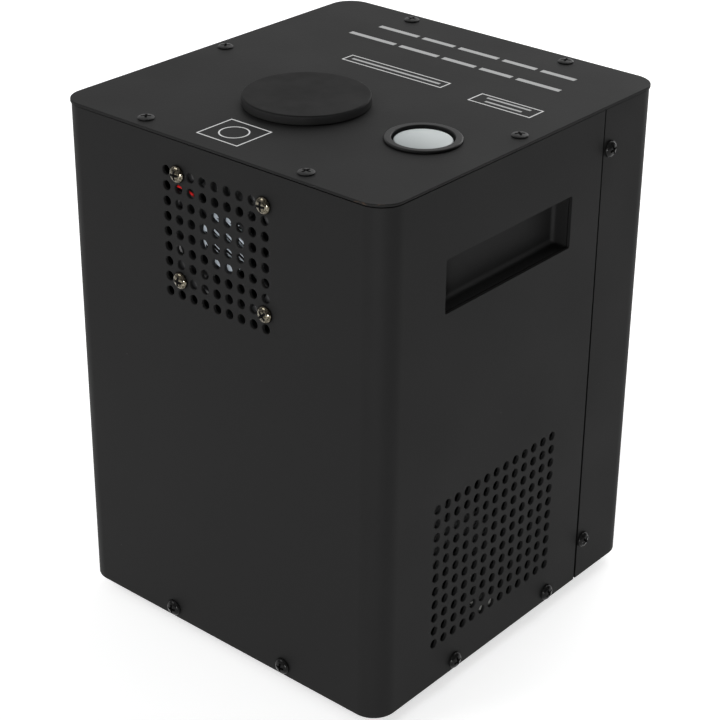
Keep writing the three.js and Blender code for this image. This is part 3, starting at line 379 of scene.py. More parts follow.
# Rubber feet: four moulded pads pushed through the pan, each held by a barb on its stem. Matt black
# rubber with a groove round the pad, a hollow below and grey dust where it has stood.
def plan_of(name, places):
    """The places of a part that repeats: points, each with the direction that the part faces."""
    mesh = bpy.data.meshes.new(name)
    mesh.from_pydata([Vector(point) * MM for point, _ in places], [], [])
    facing = mesh.attributes.new("facing", "FLOAT_VECTOR", "POINT")
    facing.data.foreach_set("vector", [value for _, way in places for value in way])
    piece = bpy.data.objects.new(name, mesh)
    bpy.context.scene.collection.objects.link(piece)
    return piece


def tree_with(name, inputs):
    """A geometry tree with named inputs, its wires, and the signals of those inputs."""
    tree = bpy.data.node_groups.new(name, "GeometryNodeTree")
    for label, kind in (("Geometry", "Geometry"), *inputs):
        tree.interface.new_socket(name=label, in_out="INPUT", socket_type="NodeSocket" + kind)
    tree.interface.new_socket(name="Geometry", in_out="OUTPUT", socket_type="NodeSocketGeometry")
    wires = Wires(tree)
    return tree, wires, wires.node("NodeGroupInput")


def grown(piece, tree, given):
    """Runs a geometry tree on a piece with its named inputs, and keeps the result as plain mesh."""
    grow = piece.modifiers.new(tree.name, "NODES")
    grow.node_group = tree
    for item in tree.interface.items_tree:
        if item.in_out == "INPUT" and item.name in given:
            grow[item.identifier] = given[item.name]
    return settle(piece)


def as_planned(wires):
    """The rotation that turns a part the way its point on the plan says."""
    settings = {"data_type": "FLOAT_VECTOR"}
    way = wires.node("GeometryNodeInputNamedAttribute", settings, {"Name": "facing"})
    return wires.node("FunctionNodeAlignRotationToVector", {"axis": "Z"}, {"Vector": way})


copies, wires, given = tree_with("copies on a plan", (
    ("Part", "Object"), ("Material", "Material"), ("Spin", "Float"), ("Seed", "Int"),
))
chance = wires.node("FunctionNodeRandomValue", {"data_type": "FLOAT"}, {
    2: 0.0, 3: given["Spin"], "Seed": given["Seed"],
}, 1)
spin = wires.node("FunctionNodeAxisAngleToRotation", None, {"Axis": (0, 0, 1), "Angle": chance})
turn = wires.node("FunctionNodeRotateRotation", {"rotation_space": "LOCAL"}, {
    0: as_planned(wires), 1: spin,
})
part = wires.node("GeometryNodeObjectInfo", None, {"Object": given["Part"]}, "Geometry")
placing = wires.node("GeometryNodeInstanceOnPoints", None, {
    "Points": given["Geometry"], "Instance": part, "Rotation": turn,
})
solid = wires.node("GeometryNodeRealizeInstances", None, {0: placing})
wires.node("NodeGroupOutput", None, {0: wires.node("GeometryNodeSetMaterial", None, {
    "Geometry": solid, "Material": given["Material"],
})})


def repeated(name, part, finish, places, spin=0.0, seed=1):
    """Copies of a part, which is used up, at a list of points and directions."""
    piece = grown(plan_of(name, places), copies, {
        "Part": part, "Material": finish.material, "Spin": spin, "Seed": seed,
    })
    bpy.data.objects.remove(part)
    return piece


rubber = Finish("black rubber")
rubber_grain = rubber.noise(0.5, 4.0)
rubber_dust = rubber.ramp(rubber.noise(7.0, 3.0), 0.5, 0.75) * rubber.ramp(rubber.axes["Z"], 0.006, 0.0)
rubber.give(
    Base_Color=rubber.mix(rubber_dust * 0.7, 0.012, 0.09),
    Roughness=rubber.ramp(rubber_grain, 0.2, 0.8, 0.68, 0.86),
    Normal=rubber.bump(rubber_grain, 0.06, 0.5),
)
foot_names = [f"foot_{number}" for number in range(1, 5)]
foot_hollow = [(2.6, 2.4), (3.0, 2.4), (3.0, 0.5), (3.5, 0.0)]
foot_groove = [(9.1, 3.4), (8.7, 3.7), (8.7, 4.1), (9.2, 4.4)]
foot_barb = [(2.5, 8.0), (2.5, 10.1), (3.5, 10.15), (3.4, 10.9), (2.5, 12.7), (2.1, 13.0)]
foot = piece_of("foot part", swept([
    *foot_hollow, *fillet(7.7, 0.9, 0.9, -90, -8),
    *foot_groove, *fillet(9.6, 7.6, 0.4, 0, 90, 3), *foot_barb,
], steps=12))
rubber_feet = repeated("rubber_feet", foot, rubber, [
    (over(name, span(name)[0].z), (0, 0, 1)) for name in foot_names
])
fitted(rubber_feet, rubber, "casing", "rubber", *foot_names)


# Power supply: a closed-frame unit on the pan. Its cover is zinc-plated sheet with rows of round
# holes, and a black barrier strip for its wires stands at one end.
punched, wires, given = tree_with("punched sheet", (
    ("Plan", "Object"), ("Hole radius", "Float"), ("Rounding", "Float"), ("Depth", "Float"),
    ("Sides", "Int"),
))
plan = wires.node("GeometryNodeObjectInfo", None, {"Object": given["Plan"]}, "Geometry")
upright = as_planned(wires)
drill = wires.node("GeometryNodeMeshCylinder", None, {
    "Vertices": given["Sides"], "Radius": given["Hole radius"], "Depth": 2.0 * given["Depth"],
})
funnel = wires.node("GeometryNodeMeshCone", None, {
    "Vertices": given["Sides"], "Radius Top": given["Hole radius"] + 2.0 * given["Rounding"],
    "Radius Bottom": given["Hole radius"], "Depth": 2.0 * given["Rounding"],
})
sink = wires.node("ShaderNodeCombineXYZ", None, {"Z": 0.0 - given["Rounding"]})
funnel = wires.node("GeometryNodeTransform", None, {0: funnel, "Translation": sink})
sheet_left = given["Geometry"]
for cutter in (drill, funnel):
    placing = wires.node("GeometryNodeInstanceOnPoints", None, {
        "Points": plan, "Instance": cutter, "Rotation": upright,
    })
    solid = wires.node("GeometryNodeRealizeInstances", None, {0: placing})
    settings = {"operation": "DIFFERENCE", "solver": "MANIFOLD"}
    sheet_left = wires.node("GeometryNodeMeshBoolean", settings, {0: sheet_left, 1: solid})
wires.node("NodeGroupOutput", None, {0: sheet_left})


def drilled(piece, radius, rounding, depth, places, sides=20):
    """Round holes with softened rims, at a list of points on the surface and directions out of it."""
    plan = plan_of("hole plan", places)
    grown(piece, punched, {
        "Plan": plan, "Hole radius": radius * MM, "Rounding": rounding * MM, "Depth": depth * MM,
        "Sides": sides,
    })
    bpy.data.objects.remove(plan)
    return piece


def block(low, high):
    """A box between two corners."""
    form = bmesh.new()
    bmesh.ops.create_cube(form, size=1.0)
    size = Vector(high) - Vector(low)
    form.transform(Matrix.Translation((Vector(low) + Vector(high)) / 2) @ Matrix.Diagonal((*size, 1)))
    return form


def brushed(name, colour, along=(1, 1, 12), rough=0.34):
    """Sheet or turned steel, with fine marks along one axis and a few dull patches."""
    metal = Finish(name)
    marks = metal.noise(0.35, 3.0, along)
    stain = metal.noise(22.0, 3.0)
    metal.give(
        Base_Color=metal.mix(stain, [part * 0.72 for part in colour], colour),
        Metallic=1.0,
        Roughness=rough + 0.16 * marks + metal.ramp(stain, 0.55, 0.8, 0.0, 0.16),
        Normal=metal.bump(marks, 0.02, 0.35),
    )
    return metal


def moulded(name, colour, rough=0.42, grain_depth=0.03):
    """Injection-moulded plastic with a fine spark-eroded grain."""
    plastic = Finish(name)
    grain = plastic.noise(0.3, 2.0)
    haze = plastic.noise(15.0, 3.0)
    plastic.give(
        Base_Color=plastic.mix(haze, [part * 0.85 for part in colour], colour),
        Roughness=plastic.ramp(haze, 0.3, 0.7, rough, rough + 0.1),
        Normal=plastic.bump(grain, grain_depth, 0.5),
    )
    return plastic


zinc_plate = brushed("zinc plate", (0.56, 0.57, 0.58), (10, 1, 1))
strip_plastic = moulded("barrier strip plastic", (0.02, 0.02, 0.021))
supply_low, supply_high = span("power_supply")
strip_depth = 14.0
strip_height = 12.0
case_end = supply_high.x - strip_depth
supply_case = piece_of("supply_case", block(supply_low, (case_end, supply_high.y, supply_high.z)))
eased(supply_case, 0.8)
hole_step = 6.0
hole_columns = [supply_low.x + 12 + column * hole_step for column in range(11)]
top_rows = [supply_low.y + 8 + row * hole_step for row in range(5)]
front_rows = [supply_low.z + 9 + row * hole_step for row in range(4)]
drilled(supply_case, 1.7, 0.15, 2.2, [
    *[((x, y, supply_high.z), (0, 0, 1)) for x in hole_columns for y in top_rows],
    *[((x, supply_low.y, z), (0, -1, 0)) for x in hole_columns for z in front_rows],
], 12)
fitted(supply_case, zinc_plate, "casing", "steel", "power_supply")
strip_top = supply_low.z + strip_height
terminal_depth = 3.0
barrier_pitch = 5.3
barriers = [supply_low.y + 1 + number * barrier_pitch for number in range(8)]
supply_strip = eased(piece_of("supply_strip", block(
    (case_end, supply_low.y, supply_low.z), (supply_high.x, supply_high.y, strip_top - terminal_depth),
), *[
    block((case_end, y, supply_low.z), (supply_high.x - 1, y + 1.2, strip_top)) for y in barriers
]), 0.2, 1)
fitted(supply_strip, strip_plastic, "casing", "black_plastic")


# Cable clip: a white nylon saddle on a leg, pushed on the pan's fold beside the right-hand vent. It
# shows through two holes of the vent's lowest row. No cable runs through it here.
clip_place = (87.6, -16.7, pan_low.z + 19.4)
saddle_radius = 4.0
saddle_bore = 2.6
saddle_half = 5.0
leg_foot = -15.0
leg = block((1.0, -saddle_half + 1, leg_foot), (2.4, saddle_half - 1, 0.3 - saddle_radius))
cable_clip = turned("cable_clip", [
    (saddle_bore, -saddle_half), (saddle_radius, -saddle_half),
    (saddle_radius, saddle_half), (saddle_bore, saddle_half),
], clip_place, "front", 8, closed=True)
combined(cable_clip, "UNION", piece_of("clip leg", placed(leg, clip_place)))
nylon = moulded("white nylon", (0.46, 0.46, 0.44), 0.45)
fitted(eased(cable_clip, 0.2, 1), nylon, "casing", "white_plastic")


# Blower: a black moulded volute on a pad, with its motor behind and its eye towards the right-hand
# vent. The wheel inside has forward-curved vanes between a back plate and a rim.
blower_plastic = moulded("blower plastic", (0.022, 0.022, 0.023), 0.38)
housing_low, housing_high = span("blower_housing")
wheel_low, wheel_high = span("blower_wheel")
axle = (wheel_low + wheel_high) / 2
volute_radius = 27.5
volute_half = 10.5
volute_x = 58.5
volute_place = (volute_x, axle.y, axle.z)
duct_y = housing_low.y + volute_half


def volute(radius, half, top):
    """The round and the duct of the housing, as two pieces joined."""
    drum = turned("drum", [(radius, -half), (radius, half)], volute_place, "right", 18)
    duct = block((volute_x - half, duct_y - half, axle.z), (volute_x + half, duct_y + half, top))
    return combined(drum, "UNION", piece_of("duct", duct))


blower_housing = volute(volute_radius, volute_half, housing_high.z)
blower_housing.name = "blower_volute"
pad = block((volute_x - 6, axle.y - 12, housing_low.z), (volute_x + 6, axle.y + 12, axle.z - 20))
blower_motor = turned("blower motor", [
    *fillet(15.0, -volute_half - 8.0, 1.0, -90, 0, 3), (16.0, -volute_half + 1),
], volute_place, "right", 12)
combined(blower_housing, "UNION", piece_of("pad", pad), blower_motor)
hollow = volute(volute_radius - sheet, volute_half - sheet, housing_high.z + 5)
blower_eye = turned("blower eye", [
    (15.0, 0), (15.0, volute_half - 1.2), (16.4, volute_half + 2),
], volute_place, "right", 14)
combined(blower_housing, "DIFFERENCE", hollow, blower_eye)
bearing = turned("bearing", [(2.5, -volute_half), (2.5, -0.4), (2.1, 0)], volute_place, "right", 6)
combined(blower_housing, "UNION", bearing)
eased(blower_housing, 0.5)
fitted(blower_housing, blower_plastic, "casing", "black_plastic", "blower_housing")

wheel_place = (wheel_low.x, axle.y, axle.z)
wheel_width = wheel_high.x - wheel_low.x
vane_count = 28
vane_reach = 20.5
vane_section = ((-1.3, 1.0), (-0.4, 1.0), (0.6, 1.0), (0.7, 0.6), (-0.4, 0.6), (-1.2, 0.7))
vane = piece_of("vane part", lofted([
    [
        (2.2 * math.sin(bend) * depth, vane_reach + 1.6 * math.cos(bend), along)
        for bend, depth in vane_section
    ] for along in (0.8, wheel_width - 0.6)
]))
vane.data.transform(Matrix(((0, 0, 1, 0), (1, 0, 0, 0), (0, 1, 0, 0), (0, 0, 0, 1))))
vane_angles = [(number + 0.25) * 2 * math.pi / vane_count for number in range(vane_count)]
blower_vanes = repeated("blower_vanes", vane, blower_plastic, [
    (wheel_place, (0, math.sin(angle), math.cos(angle))) for angle in vane_angles
])
fitted(blower_vanes, blower_plastic, "blower_wheel", "black_plastic")
back_plate = [(3.0, 1.2), (6.0, 1.2), (22.2, 1.2), (22.4, 1.0), (22.4, 0.2), (22.2, 0.0), (3.0, 0.0)]
boss = [(3.0, 0.6), (6.0, 0.6), (6.0, wheel_width - 0.4), (5.6, wheel_width), (3.0, wheel_width)]
vane_rim = [
    (17.6, wheel_width - 1.2), (22.4, wheel_width - 1.2), (22.4, wheel_width), (17.6, wheel_width),
]
blower_wheel = piece_of("blower_plate", *[
    placed(swept(profile, steps=steps, closed=True), wheel_place, "right")
    for profile, steps in ((back_plate, 18), (boss, 10), (vane_rim, 18))
])
fitted(blower_wheel, blower_plastic, "blower_wheel", "black_plastic", "blower_wheel")


# Spark barrel: a drawn steel tube on a square flange over the blower's duct, browned by heat near the
# band heater. The band is clamped round it, and a sleeve of woven glass cloth is tied over both.
barrel_steel = Finish("heated steel")
barrel_marks = barrel_steel.noise(0.3, 3.0, (1, 1, 10))
barrel_heat = barrel_steel.ramp(barrel_steel.axes["Z"] + 0.02 * barrel_steel.noise(12.0), 0.11, 0.17)
barrel_steel.give(
    Base_Color=barrel_steel.mix(barrel_heat, (0.5, 0.5, 0.5), (0.32, 0.22, 0.13)),
    Metallic=1.0,
    Roughness=0.28 + 0.2 * barrel_marks,
    Normal=barrel_steel.bump(barrel_marks, 0.02, 0.3),
)
barrel_axis = middle("spark_barrel")
barrel_low, barrel_high = span("spark_barrel")
barrel_length = barrel_high.z - barrel_low.z
flange = 13.0
tube = 11.5
bore = 10.3
barrel_tube = piece_of("barrel_tube", placed(stacked([
    (bore, bore, bore, 0),
    (flange - 0.2, flange - 0.2, 2.3, 0), (flange, flange, 2.5, 0.2),
    (flange, flange, 2.5, 1.8), (flange - 0.2, flange - 0.2, 2.3, 2.0),
    (tube + 0.4, tube + 0.4, tube + 0.4, 2.0), (tube, tube, tube, 2.4),
    (tube, tube, tube, barrel_length - 0.2), (tube - 0.2, tube - 0.2, tube - 0.2, barrel_length),
    (bore, bore, bore, barrel_length),
], 14, closed=True), over("spark_barrel", barrel_low.z)))
feed_axis = middle("feed_auger")
feed_mouth = swept([(7.3, -20), (7.3, -2)], steps=10)
cut(barrel_tube, placed(feed_mouth, (barrel_axis.x, feed_axis.y, feed_axis.z), "right"))
fitted(barrel_tube, barrel_steel, "casing", "steel", "spark_barrel")


def finished(finish, *nodes):
    """Gives CAD solids that are shown as they are a finish of their own."""
    for node in nodes:
        skins = frame["nodes"][node].data.materials
        skins.clear()
        skins.append(finish.material)


finished(barrel_steel, "heater_band")

glass_cloth = Finish("woven glass cloth")
cloth_x = glass_cloth.axes["X"] - barrel_axis.x * MM
cloth_y = glass_cloth.axes["Y"] - barrel_axis.y * MM
cloth_angle = cloth_y.math("ARCTAN2", cloth_y, cloth_x)
warp_ends = 92.0
weft_per_metre = 4600.0
weave = (cloth_angle * warp_ends).wave() * (glass_cloth.axes["Z"] * weft_per_metre).wave()
singe = glass_cloth.ramp(glass_cloth.noise(16.0, 3.0), 0.45, 0.75)
clean_cloth = glass_cloth.mix(weave, (0.62, 0.58, 0.5), (0.44, 0.41, 0.35))
glass_cloth.give(
    Base_Color=glass_cloth.mix(singe * 0.7, clean_cloth, (0.30, 0.23, 0.15)),
    Roughness=0.9,
    Sheen_Weight=0.3,
    Normal=glass_cloth.bump(weave, 0.25, 0.8),
)
jacket_low, jacket_high = span("heater_jacket")
jacket_place = over("spark_barrel", jacket_low.z)
jacket_length = jacket_high.z - jacket_low.z
jacket_outer = []
tie_heights = (0.14, 0.5, 0.86)
for step in range(41):
    share = step / 40
    pinch = sum(math.exp(-((share - tie) * 26) ** 2) for tie in tie_heights)
    swell = 19.6 + 0.4 * math.sin(share * 40) - 1.3 * pinch
    jacket_outer.append((swell, 1.2 + share * (jacket_length - 2.4)))
heater_sleeve = turned("heater_sleeve", [
    (11.8, 0.0), (18.6, 0.0), *jacket_outer, (18.6, jacket_length), (11.8, jacket_length),
    (11.8, jacket_length - 3.0), (16.0, jacket_length - 3.0), (16.0, 3.0), (11.8, 3.0),
], jacket_place, closed=True)
fitted(heater_sleeve, glass_cloth, "casing", "insulation", "heater_jacket", crease=60)
tie_wire = brushed("tie wire", (0.5, 0.5, 0.5))
tie_levels = [jacket_length * (0.03 + 0.94 * tie) for tie in tie_heights]
sleeve_ties = piece_of("sleeve_ties", *[
    placed(swept(fillet(18.7, level, 0.6, 0, 300, 5), closed=True), jacket_place) for level in tie_levels
])
fitted(sleeve_ties, tie_wire, "casing", "steel")


# Granule feed: an upright steel bracket on the pan carries a geared motor and, level with it, a turned
# tube that runs to the barrel. A screw auger inside the tube carries the granules along.
feed_steel = brushed("feed steel", (0.5, 0.5, 0.51), (14, 1, 1))
finished(feed_steel, "feeder_bracket", "feed_tube", "feed_auger")
motor_steel = brushed("motor steel", (0.45, 0.45, 0.46), (8, 1, 1), 0.28)
motor_place = (span("feed_motor")[1].x, feed_axis.y, feed_axis.z)
gear_case = swept([
    (-0.6, -18), (0, -17.4), (0, -9.4), (-0.5, -9.2), (-0.5, -8.8), (0, -8.6), (0, -0.6), (-0.6, 0),
], 17, 17, 2.5, 6)
motor_can = swept([(4.0, -43), (4.0, -41.8), *fillet(12.8, -40.6, 1.2, -90, 0, 3), (14.0, -17)], steps=14)
for form in (gear_case, motor_can):
    placed(form, motor_place, "right")
feed_drive = piece_of("feed_drive", gear_case, motor_can)
fitted(feed_drive, motor_steel, "casing", "steel", "feed_motor")


# Hopper: a spun steel bin below the cap. Its straight wall rises through the top plate and its cone
# runs down to a spout on the feed tube.
hopper_low, hopper_high = span("hopper")
spout = hopper_low.z
cone_foot = spout + 11.5
cone_head = cone_foot + 28.0
rim = hopper_high.z
spun_steel = brushed("spun steel", (0.55, 0.55, 0.56), (1, 1, 1), 0.3)
hopper_bin = turned("hopper_bin", [
    (5.5, spout), (7.0, spout), (7.0, cone_foot), (7.6, cone_foot + 1.2), (23.6, cone_head - 1.2),
    (24.0, cone_head), (24.0, rim - 0.2), (23.8, rim), (22.7, rim), (22.5, rim - 0.2), (22.5, cone_head),
    (22.1, cone_head - 1.0), (6.0, cone_foot + 1.0), (5.5, cone_foot),
], over("hopper", 0), steps=18, closed=True)
fitted(hopper_bin, spun_steel, "casing", "steel", "hopper")


# Fan: a 60 mm axial fan behind the front vent, with the strut side of its frame to the sheet. The
# frame and the seven-bladed rotor are black moulded plastic; the motor's cover is a foil label.
fan_plastic = moulded("fan plastic", (0.02, 0.02, 0.021), 0.28)
fan_low, fan_high = span("fan_frame")
fan_axis = (fan_low + fan_high) / 2
fan_place = (fan_axis.x, fan_low.y, fan_axis.z)
fan_half = 30.0
fan_depth = fan_high.y - fan_low.y
fan_bore = 28.5
strut_inset = 2.6
strut_depth = 2.2
motor_inset = 0.5
motor_radius = 14.0
fan_frame = piece_of("fan_housing", placed(stacked([
    (half, half, corner, -depth) for half, corner, depth in (
        (fan_bore + 1.1, fan_bore + 1.1, 0.0), (fan_half - 0.3, 2.7, 0.0),
        (fan_half, 3.0, 0.3), (fan_half, 3.0, 3.2),
        (29.4, 22.0, 3.4), (29.4, 22.0, fan_depth - 3.4),
        (fan_half, 3.0, fan_depth - 3.2), (fan_half, 3.0, fan_depth - 0.3),
        (fan_half - 0.3, 2.7, fan_depth), (fan_bore + 0.4, fan_bore + 0.4, fan_depth),
        (fan_bore, fan_bore, fan_depth - 0.6), (fan_bore, fan_bore, 1.5),
        (fan_bore + 0.4, fan_bore + 0.4, 0.5),
    )
], 14, closed=True), fan_place, "front"))
motor_back = -strut_inset - strut_depth
motor_mount = turned("motor mount", [
    (4.5, -12.2), (5.0, -12.0), (5.0, motor_back), (motor_radius - 0.3, motor_back),
    (motor_radius, motor_back + 0.3), (motor_radius, -motor_inset - 0.4),
    (motor_radius - 0.4, -motor_inset),
], fan_place, "front", 14)
struts = []
strut_start = 144.0
strut_half = 1.7
strut_section = ((-1, 0.3), (-0.7, 0), (0.7, 0), (1, 0.3), (0.8, strut_depth), (-0.8, strut_depth))
for number in range(4):
    angle = math.radians(strut_start + 90 * number)
    strut = lofted([
        [(reach, side * strut_half, -strut_inset - depth) for side, depth in strut_section]
        for reach in (9.0, 29.0)
    ])
    strut.transform(Matrix.Rotation(angle, 4, "Z"))
    struts.append(piece_of("strut", placed(strut, fan_place, "front")))
combined(fan_frame, "UNION", motor_mount, *struts)
lead_z = fan_axis.z + fan_bore * math.sin(math.radians(strut_start))
lead_notch = 1.8
notch_rise = 1.1
cut(fan_frame, block(
    (fan_low.x - 1, fan_low.y - 1, lead_z + notch_rise - lead_notch),
    (fan_axis.x - 22.0, fan_low.y + strut_inset, lead_z + notch_rise + lead_notch),
))
fitted(fan_frame, fan_plastic, "casing", "black_plastic", "fan_frame")

foil = Finish("foil label")
foil_x = (foil.axes["X"] - fan_axis.x * MM) / MM
foil_z = (foil.axes["Z"] - fan_axis.z * MM) / MM
foil_across = foil_z + 0.55 * foil_x
foil_close = (foil_z > -8.0) * (foil_z < -0.5)
foil_rows = ((foil_across + 40.0) / 2.1).fraction() + 0.3 * foil_close > 0.55
foil_words = foil.noise(2.6, 0.0, (1.6, 1, 0.6)) > 0.38
foil_print = foil_rows * foil_words * (abs(foil_x) < 11.5) * (abs(foil_z) < 10.0)
foil_crease = foil.noise(3.4, 2.0)
foil.give(
    Base_Color=foil.mix(foil_print, (0.74, 0.82, 0.90), 0.015),
    Metallic=0.35 - 0.35 * foil_print,
    Roughness=foil.ramp(foil_crease, 0.3, 0.7, 0.12, 0.2),
    Normal=foil.bump(foil_crease, 0.35, 0.5),
)
label_front = 0.12 - motor_inset
fan_label = turned("fan_label", [
    (12.9, -motor_inset), (13.1, 0.06 - motor_inset), (12.9, label_front), (0.6, label_front),
], fan_place, "front", 14)
fitted(fan_label, foil, "casing", "nickel")

rotor_low, rotor_high = span("fan_rotor")
rotor_place = (fan_axis.x, rotor_high.y, fan_axis.z)
rotor_depth = rotor_high.y - rotor_low.y
blade_count = 7
blade_root = 13.0
blade_span = 14.3
root_angle = 50
blade_twist = 14
blade_camber = 0.7
blade_sweep = 1.6
blade_steps = 6
blade_sides = 10
blade_levels = []
for step in range(blade_steps + 1):
    share = step / blade_steps
    tilt = math.radians(root_angle - blade_twist * share)
    chord = 5.2 + 0.9 * share
    loop = []
    for around in range(blade_sides):
        turn = around * 2 * math.pi / blade_sides
        along = chord * math.cos(turn)
        swell = 0.62 * math.sin(turn) * (1.15 - 0.3 * math.cos(turn))
        thick = swell + blade_camber * (1 - (along / chord) ** 2)
        loop.append((
            along * math.cos(tilt) - thick * math.sin(tilt) + blade_sweep * share * share,
            along * math.sin(tilt) + thick * math.cos(tilt),
            blade_root + share * blade_span,
        ))
    blade_levels.append(loop)
blade = piece_of("blade part", lofted(blade_levels))
blade_middle = (fan_axis.x, (rotor_low.y + rotor_high.y) / 2, fan_axis.z)
blade_angles = [(number + 0.3) * 2 * math.pi / blade_count for number in range(blade_count)]
fan_blades = repeated("fan_blades", blade, fan_plastic, [
    (blade_middle, (math.sin(angle), 0, math.cos(angle))) for angle in blade_angles
])
fitted(fan_blades, fan_plastic, "fan_rotor", "black_plastic")
hub_skin = swept([
    (12.2, -rotor_depth), (13.5, -rotor_depth), *fillet(12.7, -0.8, 0.8, 0, 90, 3),
    (2.0, 0.0), (2.0, -1.3), (12.2, -1.3),
], steps=14, closed=True)
hub_axle = swept([(2.0, -rotor_depth), (2.0, -0.4)], steps=6)
fan_hub = piece_of("fan_hub", *[placed(form, rotor_place, "rear") for form in (hub_skin, hub_axle)])
fitted(fan_hub, fan_plastic, "fan_rotor", "black_plastic", "fan_rotor")


# Fan lead: a red and a black wire, twisted together. They leave the motor along a strut, pass the
# frame by a notch and run back to the control board.
def wire_of(name, points, radius):
    """A round wire through points."""
    line = bpy.data.curves.new(name, "CURVE")
    line.dimensions = "3D"
    line.bevel_depth = radius * MM
    line.bevel_resolution = 3
    line.use_fill_caps = True
    run = line.splines.new("POLY")
    run.points.add(len(points) - 1)
    for knot, point in zip(run.points, points):
        knot.co = (*(Vector(point) * MM), 1)
    piece = bpy.data.objects.new(name, line)
    bpy.context.scene.collection.objects.link(piece)
    graph = bpy.context.evaluated_depsgraph_get()
    mesh = bpy.data.meshes.new_from_object(piece.evaluated_get(graph), depsgraph=graph)
    bpy.data.objects.remove(piece)
    piece = bpy.data.objects.new(name, mesh)
    bpy.context.scene.collection.objects.link(piece)
    return piece


def smooth_path(knots, steps):
    """Points on a smooth curve through knots."""
    path = []
    for at in range(len(knots) - 1):
        before, start, end, after = (
            Vector(knots[max(0, min(len(knots) - 1, at + shift))]) for shift in (-1, 0, 1, 2)
        )
        for step in range(steps):
            share = step / steps
            path.append(0.5 * (
                2 * start + (end - before) * share
                + (2 * before - 5 * start + 4 * end - after) * share ** 2
                + (3 * start - before - 3 * end + after) * share ** 3
            ))
    return [*path, Vector(knots[-1])]


lead_low, lead_high = span("fan_lead")
lead_y = fan_low.y + strut_inset / 2
lead_x = lead_low.x + 0.8
lead_end_z = 202.3
lead_end_y = lead_high.y
lead_near = [
    (-11.3, 2.7, 8.2), (-14.6, 2.7, 10.7), (-17.6, 2.6, 12.8), (-19.4, 0.8, 15.9), (-22.0, 0.0, 17.3),
    (-25.5, 0.0, 18.0), (-30.0, 0.2, 18.0), (-33.0, 4.2, 17.8), (-38.0, 10.0, 17.2),
]
path_steps = 14
twist_start = (len(lead_near) - 1) * path_steps
lead_knots = [
    *[(fan_axis.x + x, lead_y + behind, fan_axis.z + z) for x, behind, z in lead_near],
    (lead_x, lead_y + 18, lead_z),
    (lead_x, lead_y + 45, lead_z),
    (lead_x, (lead_y + lead_end_y) / 2, (lead_z + lead_end_z) / 2),
    (lead_x, lead_end_y - 45, lead_end_z),
    (lead_x, lead_end_y - 15, lead_end_z),
    (lead_x, lead_end_y, lead_end_z),
]
lead_line = smooth_path(lead_knots, path_steps)
red_wire = moulded("red wire insulation", (0.85, 0.02, 0.02), 0.3, 0.01)
black_wire = moulded("black wire insulation", (0.015, 0.015, 0.015), 0.3, 0.01)
wire_radius = 0.6
twist_radius = 0.62
twist_step = 0.42
for name, finish, phase, nodes in (
    ("lead_red", red_wire, math.pi, ("fan_lead",)), ("lead_black", black_wire, 0.0, ()),
):
    strand = []
    for at, point in enumerate(lead_line):
        turn = phase + max(0, at - twist_start) * twist_step
        aside = Vector((math.cos(turn) * 0.3, math.cos(turn), math.sin(turn)))
        strand.append(point + twist_radius * aside)
    fitted(wire_of(name, strand, wire_radius), finish, "casing", "lead_red", *nodes)


# Front shell: one sheet of 1.5 mm steel, punched flat, then bent round both front corners to make the
# front and the two sides. It carries the vents, the fan's screws and the hand openings.
shell_corner = 11.8
bend_steps = 14


def half_bend(inset, end):
    """Half of a sheet's outline at an inset: round one corner and back along one side."""
    radius = shell_corner - inset
    angles = [math.radians(90 * step / bend_steps) for step in range(bend_steps + 1)]
    return [
        *[
            (shell_half - shell_corner + radius * math.sin(angle), shell_corner - radius * math.cos(angle))
            for angle in angles
        ],
        (shell_half - inset, shell_corner + 1.0),
        (shell_half - inset, end),
    ]


def bent_sheet(face, inward, end, low, high):
    """A sheet bent round the two corners of a face, with its ends at one depth on both sides."""
    outline = list(zip(half_bend(0.0, end), half_bend(sheet, end)))
    levels = []
    for side, half in ((-1, outline[::-1]), (1, outline)):
        for (outer_x, outer_depth), (inner_x, inner_depth) in half:
            outer = (side * outer_x, face + inward * outer_depth)
            inner = (side * inner_x, face + inward * inner_depth)
            levels.append([(*outer, low), (*outer, high), (*inner, high), (*inner, low)])
    return lofted(levels)


shell_low, shell_high = span("front_shell")
cover_low, cover_high = span("rear_cover")
shell_half = shell_high.x
seam_depth = 152.1
front_coat = powder_coat("powder coat of the front shell")
front_shell = piece_of("front_wrap", bent_sheet(shell_low.y, 1, seam_depth, shell_low.z, shell_high.z))
grip_y = -13.167
grip_z = 209.7
grip_half_y = 44.8
grip_half_z = 12.6
grip = swept([(0, -110), (0, 110)], grip_half_y, grip_half_z, 1.0, 4)
cut(front_shell, placed(grip, (0, grip_y, grip_z), "right"))
eased(front_shell, 0.28, 2)
pitch = 50 / 7
screw_lines = (1, 8)
vent_holes = []
for column in range(9):
    for row in range(9):
        if not (column in screw_lines and row in screw_lines):
            x = fan_axis.x + (column - 4.5) * pitch
            z = fan_axis.z + (row - 4.5) * pitch
            vent_holes.append(((x, shell_low.y, z), (0, -1, 0)))
side_vent_y = shell_low.y + 39.8
side_vent_z = shell_low.z + 22.3
for column in range(13):
    for row in range(11):
        y = side_vent_y + column * pitch
        z = side_vent_z + row * pitch
        vent_holes += [((side * shell_half, y, z), (side, 0, 0)) for side in (-1, 1)]
drilled(front_shell, 2.25, 0.22, 5.0, vent_holes)
fitted(front_shell, front_coat, "casing", "powder_black", "front_shell")


# Hand cups: pressed boxes with a flange, spot welded behind the openings in the sides so that the
# fingers don't reach the hot parts. Same powder coat as the shell, with a painted highlight on the back
# bend.
cup_depth = 8.5
cup_bend = 1.8
cup_wall = 1.2


